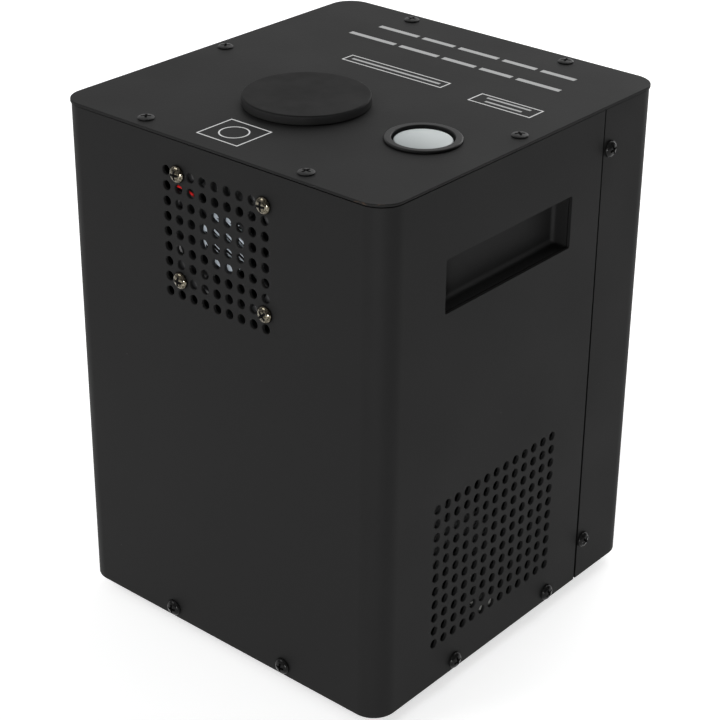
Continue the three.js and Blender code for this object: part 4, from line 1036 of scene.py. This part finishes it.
def painted_bend_highlight(finish):
    """The bend round the back of a cup, with a paler band painted on it as a painted highlight."""
    across = abs(finish.axes["Y"] / MM - grip_y) - grip_half_y
    up = abs(finish.axes["Z"] / MM - grip_z) - grip_half_z
    depth = abs(finish.axes["X"]) / MM - (shell_half - sheet - cup_depth)
    along = 1.0 - (1.0 - 0.35 * finish.ramp(across, -2.0, -0.9)) * (1.0 - finish.ramp(up, -2.2, -0.9))
    return along * finish.ramp(depth, 0.5, 2.8, 1.0, 0.0)


# The cups' coat carries a painted highlight: a paler band along the bend at the back of each cup.
cup_coat_with_highlight = powder_coat("powder coat of the cups", (painted_bend_highlight, 0.036, 0.0))
cup_skin = [
    *fillet(-cup_bend, cup_bend - cup_depth, cup_bend, -90, 0, 6),
    (0.0, -0.5), (6.0, -0.5), (6.0, -1.5), (cup_wall, -1.7),
    *fillet(-cup_bend, cup_bend - cup_depth, cup_bend + cup_wall, 0, -90, 6),
]
for side, facing_name in ((1, "right"), (-1, "left")):
    node = "handle_cup_" + facing_name
    cup = piece_of(facing_name + "_hand_cup", placed(
        swept(cup_skin, grip_half_y, grip_half_z, 1.2, 6),
        (side * (shell_half - sheet), grip_y, grip_z), facing_name,
    ))
    fitted(cup, cup_coat_with_highlight, "casing", "powder_black", node)


# Rear cover: the second sheet, bent round both rear corners and butted against the front shell. Its
# cutouts take the display, the buttons, the sockets, the mains inlet and the rocker switch.
seam_gap = 0.3
seam_flare = 0.8


def seam_painted_shade(finish):
    """The cut edge in the seam, painted near black as painted shade in the gap. The seam widens towards
    its foot.
    """
    drop = (cover_high.z - finish.axes["Z"] / MM) * (seam_flare / (cover_high.z - cover_low.z))
    return finish.axes["Y"] / MM - drop < cover_low.y + seam_gap + 0.1


# The seam's cut edge is painted near black: painted shade in the gap between the shells.
seam_shade_mark = (seam_painted_shade, 0.003, 0.0)
# The rear cover's coat is a darker copy of the shell's coat: painted shade for the weaker light on the
# machine's rear right side.
shaded_cover_coat = powder_coat("powder coat of the rear cover", seam_shade_mark, deep=0.0095, pale=0.0138)
cover_depth = cover_high.y - cover_low.y - seam_gap
cover_sheet = bent_sheet(cover_high.y, -1, cover_depth, cover_low.z, cover_high.z)
# The lower corners of both cut edges stand back, so that the seam opens towards its foot.
for corner in cover_sheet.verts:
    if corner.co.y < cover_low.y + 1.0 and corner.co.z < cover_low.z + 1.0:
        corner.co.y += seam_flare
rear_cover = piece_of("rear_wrap", cover_sheet)
rear = cover_high.y
display = middle("display_bezel")
inlet = middle("mains_inlet")
rocker = middle("rocker_frame")
socket_in = middle("signal_input")
socket_out = middle("signal_output")
button_names = [f"button_{number}" for number in range(1, 5)]


def on_panel(form, centre):
    """Sets a form on the rear face, with its height pointing out, over the middle of a CAD solid."""
    return placed(form, (centre.x, rear, centre.z), "rear")


openings = [
    (29.8, 11.8, 1.0, display), (13.8, 18.3, 2.0, inlet), (9.8, 13.55, 1.0, rocker),
    (12.4, 12.4, 12.4, socket_in), (12.4, 12.4, 12.4, socket_out),
    *[(4.7, 4.7, 4.7, middle(name)) for name in button_names],
]
cut(rear_cover, *[
    on_panel(swept([(0, -8), (0, 8)], half_x, half_z, corner, 6), centre)
    for half_x, half_z, corner, centre in openings
])
eased(rear_cover, 0.28, 2)
fitted(rear_cover, shaded_cover_coat, "casing", "powder_black", "rear_cover")


# Display: a moulded bezel pushed through the cover, with a smoked window on a ledge inside it. The
# control board stands on posts behind, in green lacquer with copper tracks below it.
panel_plastic = moulded("panel plastic", (0.02, 0.02, 0.021), 0.34)
panel_plastic.give(Specular_IOR_Level=0.3)
display_bezel = piece_of("display_surround", on_panel(swept([
    (-7.0, -0.1), *fillet(-6.4, 1.3, 0.6, 180, 90, 3), *fillet(-0.9, 1.1, 0.9, 90, 0, 4), (0.0, 0.3),
    (-3.5, 0.3), (-3.5, -3.5), (-9.0, -3.5), (-9.0, -0.1),
], 33, 15, 3.0, 6, closed=True), display))
fitted(display_bezel, panel_plastic, "casing", "black_plastic", "display_bezel")
cell_columns = 16
cell_rows = 2
cell_pitch_x = 3.4
cell_pitch_z = 6.4
smoked = Finish("smoked window")
smear = smoked.noise(14.0, 4.0)
cell_x = (smoked.axes["X"] - display.x * MM) / (cell_pitch_x * MM)
cell_z = (smoked.axes["Z"] - display.z * MM) / (cell_pitch_z * MM)
in_column = (cell_x + cell_columns).fraction() < 0.84
in_row = (cell_z + cell_rows).fraction() < 0.9
cells = in_column * in_row * (abs(cell_x) < cell_columns / 2) * (abs(cell_z) < cell_rows / 2)
screen = (abs(cell_x) < cell_columns / 2 + 0.3) * (abs(cell_z) < cell_rows / 2 + 0.25)
glass = smoked.mix(screen, smoked.mix(smear, 0.004, 0.007), (0.006, 0.012, 0.034))
smoked.give(
    Base_Color=smoked.mix(cells, glass, (0.011, 0.021, 0.055)),
    Roughness=smoked.ramp(smear, 0.3, 0.8, 0.06, 0.16),
    Specular_IOR_Level=0.3,
)
window_low, window_high = span("display_window")
window_half = (window_high - window_low) / 2
display_window = piece_of("display_pane", placed(swept([
    (-0.3, 0.0), (0.0, 0.3), (0.0, 0.9), (-0.3, 1.2),
], window_half.x, window_half.z, 0.6, 4), (display.x, window_low.y, display.z), "rear"))
fitted(display_window, smoked, "casing", "smoked_window", "display_window")

lacquer = Finish("circuit board lacquer")
track_width = 0.22
track_x = (lacquer.axes["X"] / MM).zigzag(1.3) < track_width
track_z = (lacquer.axes["Z"] / MM).zigzag(1.7) < track_width
track_choice = lacquer.noise(9.0, 0.0) > 0.5
tracks = track_x * track_choice + track_z * (1 - track_choice)
lacquer.give(
    Base_Color=lacquer.mix(tracks, (0.008, 0.07, 0.022), (0.03, 0.17, 0.05)),
    Roughness=0.3 + 0.1 * lacquer.noise(4.0),
    Normal=lacquer.bump(tracks, 0.05, 0.6),
)
finished(lacquer, "control_board")


# Buttons: four short moulded caps with a dished top, which stand out of round holes in the cover.
# Each is sprung by its switch on the board behind.
button_low, button_high = span(button_names[0])
button_skin = [
    (1.8, button_low.y - button_high.y), (1.8, -4.8), (5.7, -4.8), (5.8, -4.7), (5.8, -3.9), (5.7, -3.8),
    (4.4, -3.8), *fillet(3.8, -0.6, 0.6, 0, 90, 4), (3.0, -0.05), (2.0, -0.32), (1.0, -0.42),
]
for name in button_names:
    place = (middle(name).x, button_high.y, middle(name).z)
    cap = turned(name + "_cap", button_skin, place, "rear", 10)
    fitted(cap, panel_plastic, name, "black_plastic", name)


# Signal sockets: two round three-pole sockets in moulded frames, the input with pins and the output
# with holes. Two small screws in opposite corners hold each frame to the cover.
socket_plastic = moulded("socket plastic", (0.014, 0.014, 0.015), 0.3)
contact = Finish("contact metal")
contact_mark = contact.noise(0.8, 3.0)
contact.give(
    Base_Color=contact.mix(contact_mark, (0.66, 0.64, 0.6), (0.78, 0.76, 0.72)), Metallic=1.0,
    Roughness=contact.ramp(contact_mark, 0.2, 0.8, 0.18, 0.32),
)
socket_levels = [
    (11.6, 11.6, 11.6, -20.0), (11.8, 11.8, 11.8, -19.6), (11.8, 11.8, 11.8, 0.3), (12.8, 15.3, 2.6, 0.3),
    (13.0, 15.5, 2.8, 0.6), (13.0, 15.5, 2.8, 1.2), (12.4, 14.9, 2.2, 1.7), (11.4, 11.4, 11.4, 1.7),
    (11.0, 11.0, 11.0, 2.2), (10.1, 10.1, 10.1, 2.2), (9.6, 9.6, 9.6, 1.7), (9.6, 9.6, 9.6, -11.8),
]
pin_reach = 4.8
pin_ways = [
    (pin_reach * math.cos(angle), pin_reach * math.sin(angle)) for angle in (-math.pi, -math.pi / 2, 0)
]
input_socket = piece_of("input_socket", on_panel(stacked(socket_levels, 12), socket_in))
fitted(input_socket, socket_plastic, "casing", "black_plastic", "signal_input")
pin = piece_of("pin part", swept([(1.2, -12.2), (1.2, -3.6), *fillet(0.5, -3.5, 0.7, 0, 80, 3)], steps=4))
input_pins = repeated("input_pins", pin, contact, [
    ((socket_in.x - x, rear, socket_in.z + z), (0, 1, 0)) for x, z in pin_ways
])
fitted(input_pins, contact, "casing", "nickel")
output_socket = piece_of("output_socket", on_panel(stacked(socket_levels, 12), socket_out))
insert = swept([(7.4, -12.4), (7.4, 0.8), (7.0, 1.2), (0.5, 1.2)], steps=12)
combined(output_socket, "UNION", piece_of("insert", on_panel(insert, socket_out)))
drilled(output_socket, 1.4, 0.3, 9.0, [
    ((socket_out.x - x, rear + 1.2, socket_out.z + z), (0, 1, 0)) for x, z in pin_ways
], 16)
fitted(output_socket, socket_plastic, "casing", "black_plastic", "signal_output")


# Mains inlet: a moulded three-pole inlet with a fuse drawer below its recess. The blades are plated
# brass, and the recess has two cut corners so that the plug fits one way round.
inlet_plastic = moulded("inlet plastic", (0.018, 0.018, 0.019), 0.32)
inlet_body = piece_of("inlet_body", on_panel(stacked([
    (13.3, 17.8, 1.6, -24.0), (13.5, 18.0, 1.8, -23.6), (13.5, 18.0, 1.8, 0.3), (16.8, 21.8, 2.8, 0.3),
    (17.0, 22.0, 3.0, 0.6), (17.0, 22.0, 3.0, 1.6), (16.2, 21.2, 2.2, 2.4),
], 6), inlet))
recess_rise = 6.5
recess_outline = [(-12, -8.25), (12, -8.25), (12, 3.6), (7.6, 8.25), (-7.6, 8.25), (-12, 3.6)]
recess = lofted([
    [(x * grow, z * grow + recess_rise, height) for x, z in recess_outline]
    for grow, height in ((1.0, -14.6), (1.0, 2.0), (1.09, 3.0))
])
drawer_slot = swept([(0, -16.3), (0, 3.0)], 10.3, 3.3, 0.4, 2)
drawer_slot.transform(Matrix.Translation((0, -10, 0)))
cut(inlet_body, on_panel(recess, inlet), on_panel(drawer_slot, inlet))
fitted(inlet_body, inlet_plastic, "casing", "black_plastic", "mains_inlet")
blade_part = piece_of("inlet blade part", swept([(0, -15.0), (0, -4.4), (-0.5, -3.6)], 1.0, 2.25, 0.3, 2))
blade_ways = ((-7, -3.5), (0, 3.5), (7, -3.5))
inlet_blades = repeated("inlet_blades", blade_part, contact, [
    ((inlet.x + x, rear, inlet.z + recess_rise + z), (0, 1, 0)) for x, z in blade_ways
])
fitted(inlet_blades, contact, "casing", "nickel")
drawer_low, drawer_high = span("fuse_drawer")
drawer_place = (middle("fuse_drawer").x, drawer_high.y, middle("fuse_drawer").z)
drawer_end = drawer_low.y - drawer_high.y
fuse_tray = piece_of("fuse_tray", placed(stacked([
    (9.8, 2.8, 0.4, drawer_end), (10.0, 3.0, 0.5, drawer_end + 0.3), (10.0, 3.0, 0.5, -1.0),
    (10.8, 3.8, 0.8, -1.0), (11.0, 4.0, 1.0, -0.8), (11.0, 4.0, 1.0, -0.3), (10.6, 3.6, 0.7, 0.0),
], 3), drawer_place, "rear"))
notch = swept([(0, -0.7), (0.3, 1.0)], 4.0, 0.9, 0.6, 4)
cut(fuse_tray, placed(notch, drawer_place, "rear"))
fitted(fuse_tray, inlet_plastic, "fuse_drawer", "black_plastic", "fuse_drawer")


# Power rocker: a snap-in switch. Its rocker has two flat halves that meet at a low ridge, marked with
# a line for on and a ring for off, and turns on two pins in the frame.
rocker_surround = piece_of("rocker_surround", on_panel(stacked([
    (7.8, 11.35, 0.4, -16.0), (9.5, 13.25, 0.8, -16.0), (9.5, 13.25, 0.8, 0.3), (11.0, 15.0, 2.2, 0.3),
    (11.0, 15.0, 2.2, 0.9), (10.8, 14.8, 2.0, 1.6), (10.2, 14.2, 1.4, 2.0), (8.2, 11.75, 0.8, 2.0),
    (7.8, 11.35, 0.4, 1.6), (7.8, 11.35, 0.4, -8.0),
], 5, closed=True), rocker))
fitted(rocker_surround, panel_plastic, "casing", "black_plastic", "rocker_frame")
rocker_joint = next(joint for joint in frame["joints"] if joint["name"] == "rocker_tilt")
pivot = Vector(rocker_joint["pos_m"]) / MM
rocker_tilt = math.radians(-10)
rocker_plastic = moulded("rocker plastic", (0.016, 0.016, 0.017), 0.28, 0.02)
mark_rise = 6.0
half_stroke = 0.35


def rocker_mask(finish):
    """White marks on the two halves: a line above the pivot, a ring below it."""
    height = (finish.axes["Z"] - pivot.z * MM) / MM
    across = (finish.axes["X"] - pivot.x * MM) / MM
    line = (abs(across) < half_stroke) * (abs(height - mark_rise) < 1.8)
    reach = (across * across + (height + mark_rise) * (height + mark_rise)) ** 0.5
    return line + (abs(reach - 1.7) < half_stroke) * (finish.axes["Y"] > rear * MM + 0.0005)


rocker_grain = rocker_plastic.noise(0.3)
rocker_plastic.give(
    Base_Color=rocker_plastic.mix(rocker_mask(rocker_plastic), 0.016, 0.7),
    Roughness=0.3 + 0.08 * rocker_grain,
)
side_outline = [
    (-10.75, -2.0), (-10.75, 1.8), (-10.3, 2.15), (-0.6, 1.13), (0, 1.1), (0.6, 1.13), (10.3, 2.15),
    (10.75, 1.8), (10.75, -2.0), (0, -5.0),
]
rocker_form = lofted([[(x, up, out) for up, out in side_outline] for x in (-7.5, 7.5)])
rocker_pins = swept([(1.2, -8.4), (1.2, 8.4)], steps=5)
rocker_pins.transform(Matrix.Rotation(math.pi / 2, 4, "Y"))
for form in (rocker_form, rocker_pins):
    form.transform(Matrix.Rotation(-rocker_tilt, 4, "X"))
    placed(form, pivot, "rear")
power_rocker = eased(piece_of("rocker_key", rocker_form, rocker_pins), 0.25)
fitted(power_rocker, rocker_plastic, "power_rocker", "black_plastic", "power_rocker")


# Top plate: a flat sheet that lies over both shells with a half-millimetre overhang, held by six
# screws. White print on the real one is given here as plain bars and outlines.
plate_low, plate_high = span("top_plate")
plate_half = (plate_high - plate_low) / 2
plate_middle = (plate_low + plate_high) / 2
print_bars = [
    *[(left, right, 55.4, 58.4) for left, right in ((-57, -29), (-26, -3), (0, 19), (22, 40), (43, 67))],
    *[(left, right, 71.8, 74.8) for left, right in ((-52, -28), (-25, -6), (-3, 20), (23, 42), (45, 64))],
    (-31, 21, 27.2, 28.8), (48, 72, 27.1, 28.5), (50, 70, 23.0, 24.4),
]
print_frames = [(-34.4, 24.5, 24.0, 32.0), (42.8, 76.9, 20.0, 31.0), (-18.5, 5.5, -88.5, -66.5)]
ring_print = (-6.5, -77.5, 6.5)
line_width = 0.7
bar_ink = 0.62


def plate_ink(finish):
    """The mask of the white print: bars and boxes by their left, right, front and back, and a ring."""
    x = finish.axes["X"] / MM
    y = finish.axes["Y"] / MM - plate_middle.y

    def filled(left, right, front, back):
        across = abs(x - (left + right) / 2) < (right - left) / 2
        along = abs(y - (front + back) / 2) < (back - front) / 2
        return across * along

    mask = sum(bar_ink * filled(*bar) for bar in print_bars)
    for left, right, front, back in print_frames:
        hollow = filled(left + line_width, right - line_width, front + line_width, back - line_width)
        mask = mask + filled(left, right, front, back) * (1 - hollow)
    across, along, radius = ring_print
    reach = ((x - across) * (x - across) + (y - along) * (y - along)) ** 0.5
    mask = mask + (abs(reach - radius) < line_width / 2)
    return mask * (finish.axes["Z"] > plate_high.z * MM - 0.0002)


def plate_chips(finish):
    """Small chips in the coat on the plate's edge at the front right corner."""
    x = finish.axes["X"] / MM - plate_high.x
    y = finish.axes["Y"] / MM - plate_low.y
    inward = x + plate_corner
    forward = y - plate_corner
    reach = (inward * inward + forward * forward) ** 0.5
    rim = (reach > plate_corner - 0.5) * (x > -17.0) * (y < 4.0)
    return rim * finish.ramp(finish.noise(2.4, 3.0, (1.6, 1.6, 1)), 0.5, 0.62)


plate_corner = 12.3
white_ink = 0.78
bare_steel = (0.08, 0.052, 0.036)
plate_coat = powder_coat(
    "powder coat of the top plate", (plate_ink, white_ink, 0.1), (plate_chips, bare_steel, -0.12),
)
plate_sheet = swept([
    (-0.7, 0.0), (-0.05, 0.6), (0.0, 0.7), *fillet(-0.4, 1.1, 0.4, 0, 90, 4),
], plate_half.x, plate_half.y, plate_corner, 20)
# The plate lies closer on the shells everywhere but at its front right corner.
close_share = 0.22
for corner in plate_sheet.verts:
    if corner.co.z < 1.0 and not corner.co.x > 0 > corner.co.y:
        corner.co.z *= close_share
top_plate = piece_of("top_sheet", placed(plate_sheet, over("top_plate", plate_low.z)))
cut(top_plate, *[
    placed(swept([(radius, -5), (radius, 5)], steps=20), over(node, plate_high.z))
    for radius, node in ((24.6, "hopper"), (15.7, "outlet_collar"))
])
fitted(top_plate, plate_coat, "casing", "powder_black", "top_plate")


# Spark outlet: a turned aluminium collar, black anodised, pressed through the plate over the barrel.
# A white moulded plug with a low dome keeps dust out of it in storage.
anodised = Finish("black anodised collar")
turning = anodised.noise(0.25, 2.0, (1, 1, 0.4))
anodised.give(
    Base_Color=anodised.mix(turning, 0.005, 0.009), Specular_IOR_Level=0.14,
    Roughness=anodised.ramp(turning, 0.2, 0.8, 0.36, 0.46), Normal=anodised.bump(turning, 0.01, 0.4),
)
collar_low, collar_high = span("outlet_collar")
skirt = collar_low.z - collar_high.z
outlet_collar = turned("outlet_ring", [
    (11.0, skirt), (15.1, skirt), (15.1, -1.1), (16.8, -1.1), (17.0, -0.9),
    *fillet(16.1, -0.9, 0.9, 0, 90, 5), *fillet(14.2, -0.6, 0.6, 90, 180, 4),
    (13.6, skirt + 1.5), (11.0, skirt + 1.5),
], over("outlet_collar", collar_high.z), steps=24, closed=True)
fitted(outlet_collar, anodised, "casing", "collar_black", "outlet_collar")
plug_white = Finish("white plug")
plug_cloud = plug_white.noise(9.0, 3.0)
plug_forward = middle("outlet_collar").y - plug_white.axes["Y"] / MM
# The plug is painted greyer towards its front, broken up by noise: painted shade where the dome turns away
# from the light above and behind.
plug_painted_shade = plug_white.ramp(plug_forward + 3.0 * plug_cloud, -9.0, 15.0)
plug_unshaded = plug_white.mix(plug_cloud, (0.64, 0.69, 0.69), (0.70, 0.74, 0.74))
plug_white.give(
    Base_Color=plug_white.mix(plug_painted_shade, plug_unshaded, (0.31, 0.34, 0.34)),
    Roughness=plug_white.ramp(plug_cloud, 0.3, 0.7, 0.42, 0.52),
    Normal=plug_white.bump(plug_white.noise(0.5), 0.02, 0.3),
)
plug_low, plug_high = span("dust_plug")
plug_foot = plug_low.z - plug_high.z
plug_radius = 12.8
plug_sink = 1.3
plug_crown = 0.7
dome = [
    (plug_radius * math.cos(angle), -plug_sink - plug_crown + plug_crown * math.sin(angle))
    for angle in [math.radians(15 * step) for step in range(1, 6)]
]
dust_plug = turned("dust_cap", [
    (10.8, plug_foot), (11.4, plug_foot), (12.0, plug_foot + 0.6), (12.0, -5.6), (plug_radius, -4.4),
    (plug_radius, -plug_sink - plug_crown - 0.3), *dome, (1.0, -plug_sink),
], over("outlet_collar", plug_high.z), steps=20)
fitted(dust_plug, plug_white, "dust_plug", "white_plastic", "dust_plug")


# Fill cap: a thick black moulded lid with a rounded rim, pushed into the hopper by a plug below it.
# Its top is plain and very slightly dished.
cap_low, cap_high = span("fill_cap")
cap_plastic = moulded("fill cap plastic", (0.011, 0.011, 0.0114), 0.5, 0.03)
cap_haze = cap_plastic.noise(6.0, 3.0)
# The side of the cap is painted about three times paler than its top: a painted sheen for the light that
# the side catches.
cap_side = cap_plastic.ramp(cap_high.z - cap_plastic.axes["Z"] / MM, 0.2, 0.7)
cap_top_tone = cap_plastic.mix(cap_haze, 0.0084, 0.0104)
cap_side_painted_sheen = cap_plastic.mix(cap_haze, 0.026, 0.034)
cap_plastic.give(
    Base_Color=cap_plastic.mix(cap_side, cap_top_tone, cap_side_painted_sheen), Specular_IOR_Level=0.05,
)
cap_foot = cap_low.z - cap_high.z
fill_cap = turned("fill_lid", [
    (18.0, cap_foot), (21.4, cap_foot), (21.9, cap_foot + 0.6), (21.9, -4.2), (28.2, -4.2), (28.6, -4.1),
    (28.8, -3.8), (28.8, -1.0), *fillet(27.9, -0.9, 0.9, 0, 90, 5), (26.0, -0.02), (24.0, -0.06),
    (14.0, -0.14), (2.0, -0.2),
], over("fill_cap", cap_high.z), steps=24)
fitted(fill_cap, cap_plastic, "fill_cap", "black_plastic", "fill_cap", crease=40)


# Screws: cross-recess machine screws. Glossy black pan heads hold the casing, flat black heads the
# top plate, nickel-plated pan heads the fan, and small black ones the two signal sockets.
def screw_part(radius, height, crown, shank=3.0):
    """A screw head with a cross recess and the start of its shank. The seat is at height 0."""
    dome = [
        (radius * math.cos(angle), height - crown + crown * math.sin(angle))
        for angle in [math.radians(step) for step in (0, 20, 40, 58, 74)]
    ]
    head = piece_of("screw part", swept([
        (radius * 0.45, -shank), (radius * 0.45, 0.0), (radius * 0.93, 0.0), (radius, 0.12),
        *dome, (0.3, height),
    ], steps=8))
    for long, wide in ((0.62, 0.15), (0.15, 0.62)):
        recess = lofted([
            ring(radius * long * share, radius * wide * share, 0.1, level, 2)
            for share, level in ((0.5, height - 1.8), (1.0, height - 0.2), (1.08, height + 0.5))
        ])
        cut(head, recess)
    # Faces inside the head and below its skin are the walls of the recess, marked for painted shade.
    recess_shade = head.data.attributes.new("recess_shade", "FLOAT", "FACE")
    for face, share in zip(head.data.polygons, recess_shade.data):
        reach = min(1.0, face.center.xy.length / (radius * MM))
        skin = height - crown + crown * math.sqrt(1 - reach * reach)
        share.value = float(reach < 0.7 and 0 < face.center.z < (skin - 0.15) * MM)
    return head


def plated(name, worn, bright, rough, recess_shade_tone, metallic=0.0, specular=0.0):
    """A plated screw: fine marks on its head, and painted shade, dark and matt, down in its recess."""
    plate = Finish(name)
    mark = plate.noise(0.7, 3.0)
    recess_shade = plate.node("ShaderNodeAttribute", {"attribute_name": "recess_shade"}, None, "Fac")
    plate.give(
        Base_Color=plate.mix(recess_shade, plate.mix(plate.ramp(mark, 0.42, 0.66), worn, bright), recess_shade_tone),
        Metallic=metallic * (1.0 - recess_shade),
        Roughness=plate.ramp(mark, 0.3, 0.8, *rough) + 0.4 * recess_shade,
        Normal=plate.bump(mark, 0.03, 0.3),
        Specular_IOR_Level=specular,
    )
    return plate


# The last colour of each plated finish is the painted shade of its cross recess.
black_screw = plated("black zinc screw", 0.006, 0.012, (0.12, 0.24), 0.003, specular=0.12)
matt_screw = plated("matt black screw", 0.020, 0.032, (0.38, 0.5), 0.02, specular=0.14)
nickel = plated(
    "nickel plate", (0.05, 0.044, 0.030), (0.26, 0.235, 0.185), (0.08, 0.22), 0.016, metallic=1.0,
)
any_turn = 3.1


def screw_seat(node, way, height):
    """Where the head of a CAD screw sits, and the way that it faces."""
    axis, sign = {"up": (2, 1), "front": (1, -1), "right": (0, 1), "left": (0, -1)}[way]
    low, high = span(node)
    seat = (low + high) / 2
    seat[axis] = (high if sign > 0 else low)[axis] - sign * height
    outward = [0, 0, 0]
    outward[axis] = sign
    return seat, outward


def screwed(name, ways, height, part, finish, slot, seed):
    """Copies of a screw for the CAD screws of one group, each turned by chance about its axis."""
    places = [screw_seat(node, way, height) for node, way in ways.items()]
    fitted(repeated(name, part, finish, places, any_turn, seed), finish, "casing", slot, *ways)


casing_ways = {
    **{f"base_screw_{number}": "front" for number in (1, 2)},
    **{f"base_screw_{number}": "left" for number in (3, 4)},
    **{f"base_screw_{number}": "right" for number in (5, 6)},
    **{f"cover_screw_{number}": "left" for number in (1, 2)},
    **{f"cover_screw_{number}": "right" for number in (3, 4)},
}
top_ways = {f"top_screw_{number}": "up" for number in range(1, 7)}
fan_ways = {f"fan_screw_{number}": "front" for number in range(1, 5)}
pan_head = 2.4
flat_head = 1.0
casing_part = screw_part(4.0, pan_head, 1.9)
screwed("casing_screws", casing_ways, pan_head, casing_part, black_screw, "black_zinc", 5)
top_part = screw_part(3.7, flat_head, 0.75)
screwed("plate_screws", top_ways, flat_head, top_part, matt_screw, "black_zinc", 2)
fan_part = screw_part(4.0, pan_head, 1.9, 18.0)
screwed("fan_screws", fan_ways, pan_head, fan_part, nickel, "nickel", 9)
panel_places = [
    ((centre.x + 9.6 * side, rear + 1.6, centre.z + 12.2 * side), (0, 1, 0))
    for centre in (socket_in, socket_out) for side in (-1, 1)
]
panel_part = screw_part(1.9, 1.1, 0.8, 2.0)
panel_screws = repeated("panel_screws", panel_part, black_screw, panel_places, any_turn, 3)
fitted(panel_screws, black_screw, "casing", "black_zinc")


# Studio: a wide pale floor, soft lamps on both sides and above, and the camera at the photograph's
# viewpoint. Camera, mirror and glass rays see a white background.
scene = bpy.context.scene
scene.view_settings.view_transform = "Standard"
floor_form = bmesh.new()
bmesh.ops.create_grid(floor_form, x_segments=2, y_segments=2, size=3000.0)
floor = piece_of("studio_floor", floor_form)
floor_finish = Finish("studio floor")
floor_tone = floor_finish.mix(floor_finish.noise(400.0), 0.80, 0.82)
floor_finish.give(Base_Color=floor_tone, Roughness=0.9, Specular_IOR_Level=0.1)
rays = floor_finish.node("ShaderNodeLightPath")
seen = rays["Is Camera Ray"] + rays["Is Glossy Ray"] + rays["Is Transmission Ray"]
shader = floor_finish.tree.nodes["Principled BSDF"]
shader.inputs["Emission Color"].default_value = (1, 1, 1, 1)
floor_finish.tree.links.new((0.62 * seen).socket, shader.inputs["Emission Strength"])
floor.data.materials.append(floor_finish.material)

world = bpy.data.worlds.new("studio")
scene.world = world
world.use_nodes = True
# Mirrors see white behind the machine only, and a flag dims the sky on its right.
sky = Wires(world.node_tree)
rays = sky.node("ShaderNodeLightPath")
way = sky.node("ShaderNodeSeparateXYZ", None, {0: sky.node("ShaderNodeTexCoord", out="Generated")})
behind = sky.ramp(0.77 * way["Y"] - 0.64 * way["X"], 0.2, 0.7)
shown = rays["Is Camera Ray"] + rays["Is Transmission Ray"] + rays["Is Glossy Ray"] * behind
background = world.node_tree.nodes["Background"]
background.inputs["Color"].default_value = (1, 1, 1, 1)
flag = sky.ramp(way["X"], 0.2, 0.6)
plain = 0.36 - flag * (0.14 + 0.19 * rays["Is Glossy Ray"])
world.node_tree.links.new((plain + 0.64 * shown).socket, background.inputs["Strength"])


def lamp(name, place, aim, width, height, power):
    """A rectangular softbox that points at a spot on the machine."""
    light = bpy.data.lights.new(name, "AREA")
    light.shape = "RECTANGLE"
    light.size = width
    light.size_y = height
    light.energy = power
    holder = bpy.data.objects.new(name, light)
    scene.collection.objects.link(holder)
    holder.location = place
    holder.rotation_euler = (Vector(aim) - Vector(place)).to_track_quat("-Z", "Y").to_euler()


lamp("key softbox", (-0.9, -1.3, 1.5), (0, 0, 0.14), 1.0, 0.8, 12.0)
lamp("low front softbox", (0.95, -1.38, 0.15), (0, 0, 0.12), 0.22, 0.3, 12.4)
lamp("side softbox", (1.6, -0.3, 1.2), (0, 0, 0.12), 1.0, 1.2, 0.3)
lamp("top softbox", (0.06, 0.75, 1.25), (0, 0, 0.2), 1.2, 0.8, 6.3)
lamp("rear softbox", (-0.05, 1.7, 0.6), (0, 0, 0.12), 1.0, 1.0, 7.0)

# The camera is solved from the casing's edges and from both vent grids.
eye = bpy.data.cameras.new("camera")
eye.sensor_width = 36.0
eye.lens = 97.84
eye.shift_x = -0.00812
eye.shift_y = -0.05288
eye.clip_start = 0.01
camera = bpy.data.objects.new("camera", eye)
scene.collection.objects.link(camera)
right = Vector((0.762442, 0.646976, 0.010226))
upward = Vector((-0.298351, 0.337487, 0.892799))
camera.matrix_world = Matrix.Translation((0.535982, -0.636060, 0.560308)) @ Matrix((
    right, upward, right.cross(upward),
)).transposed().to_4x4()
scene.camera = camera
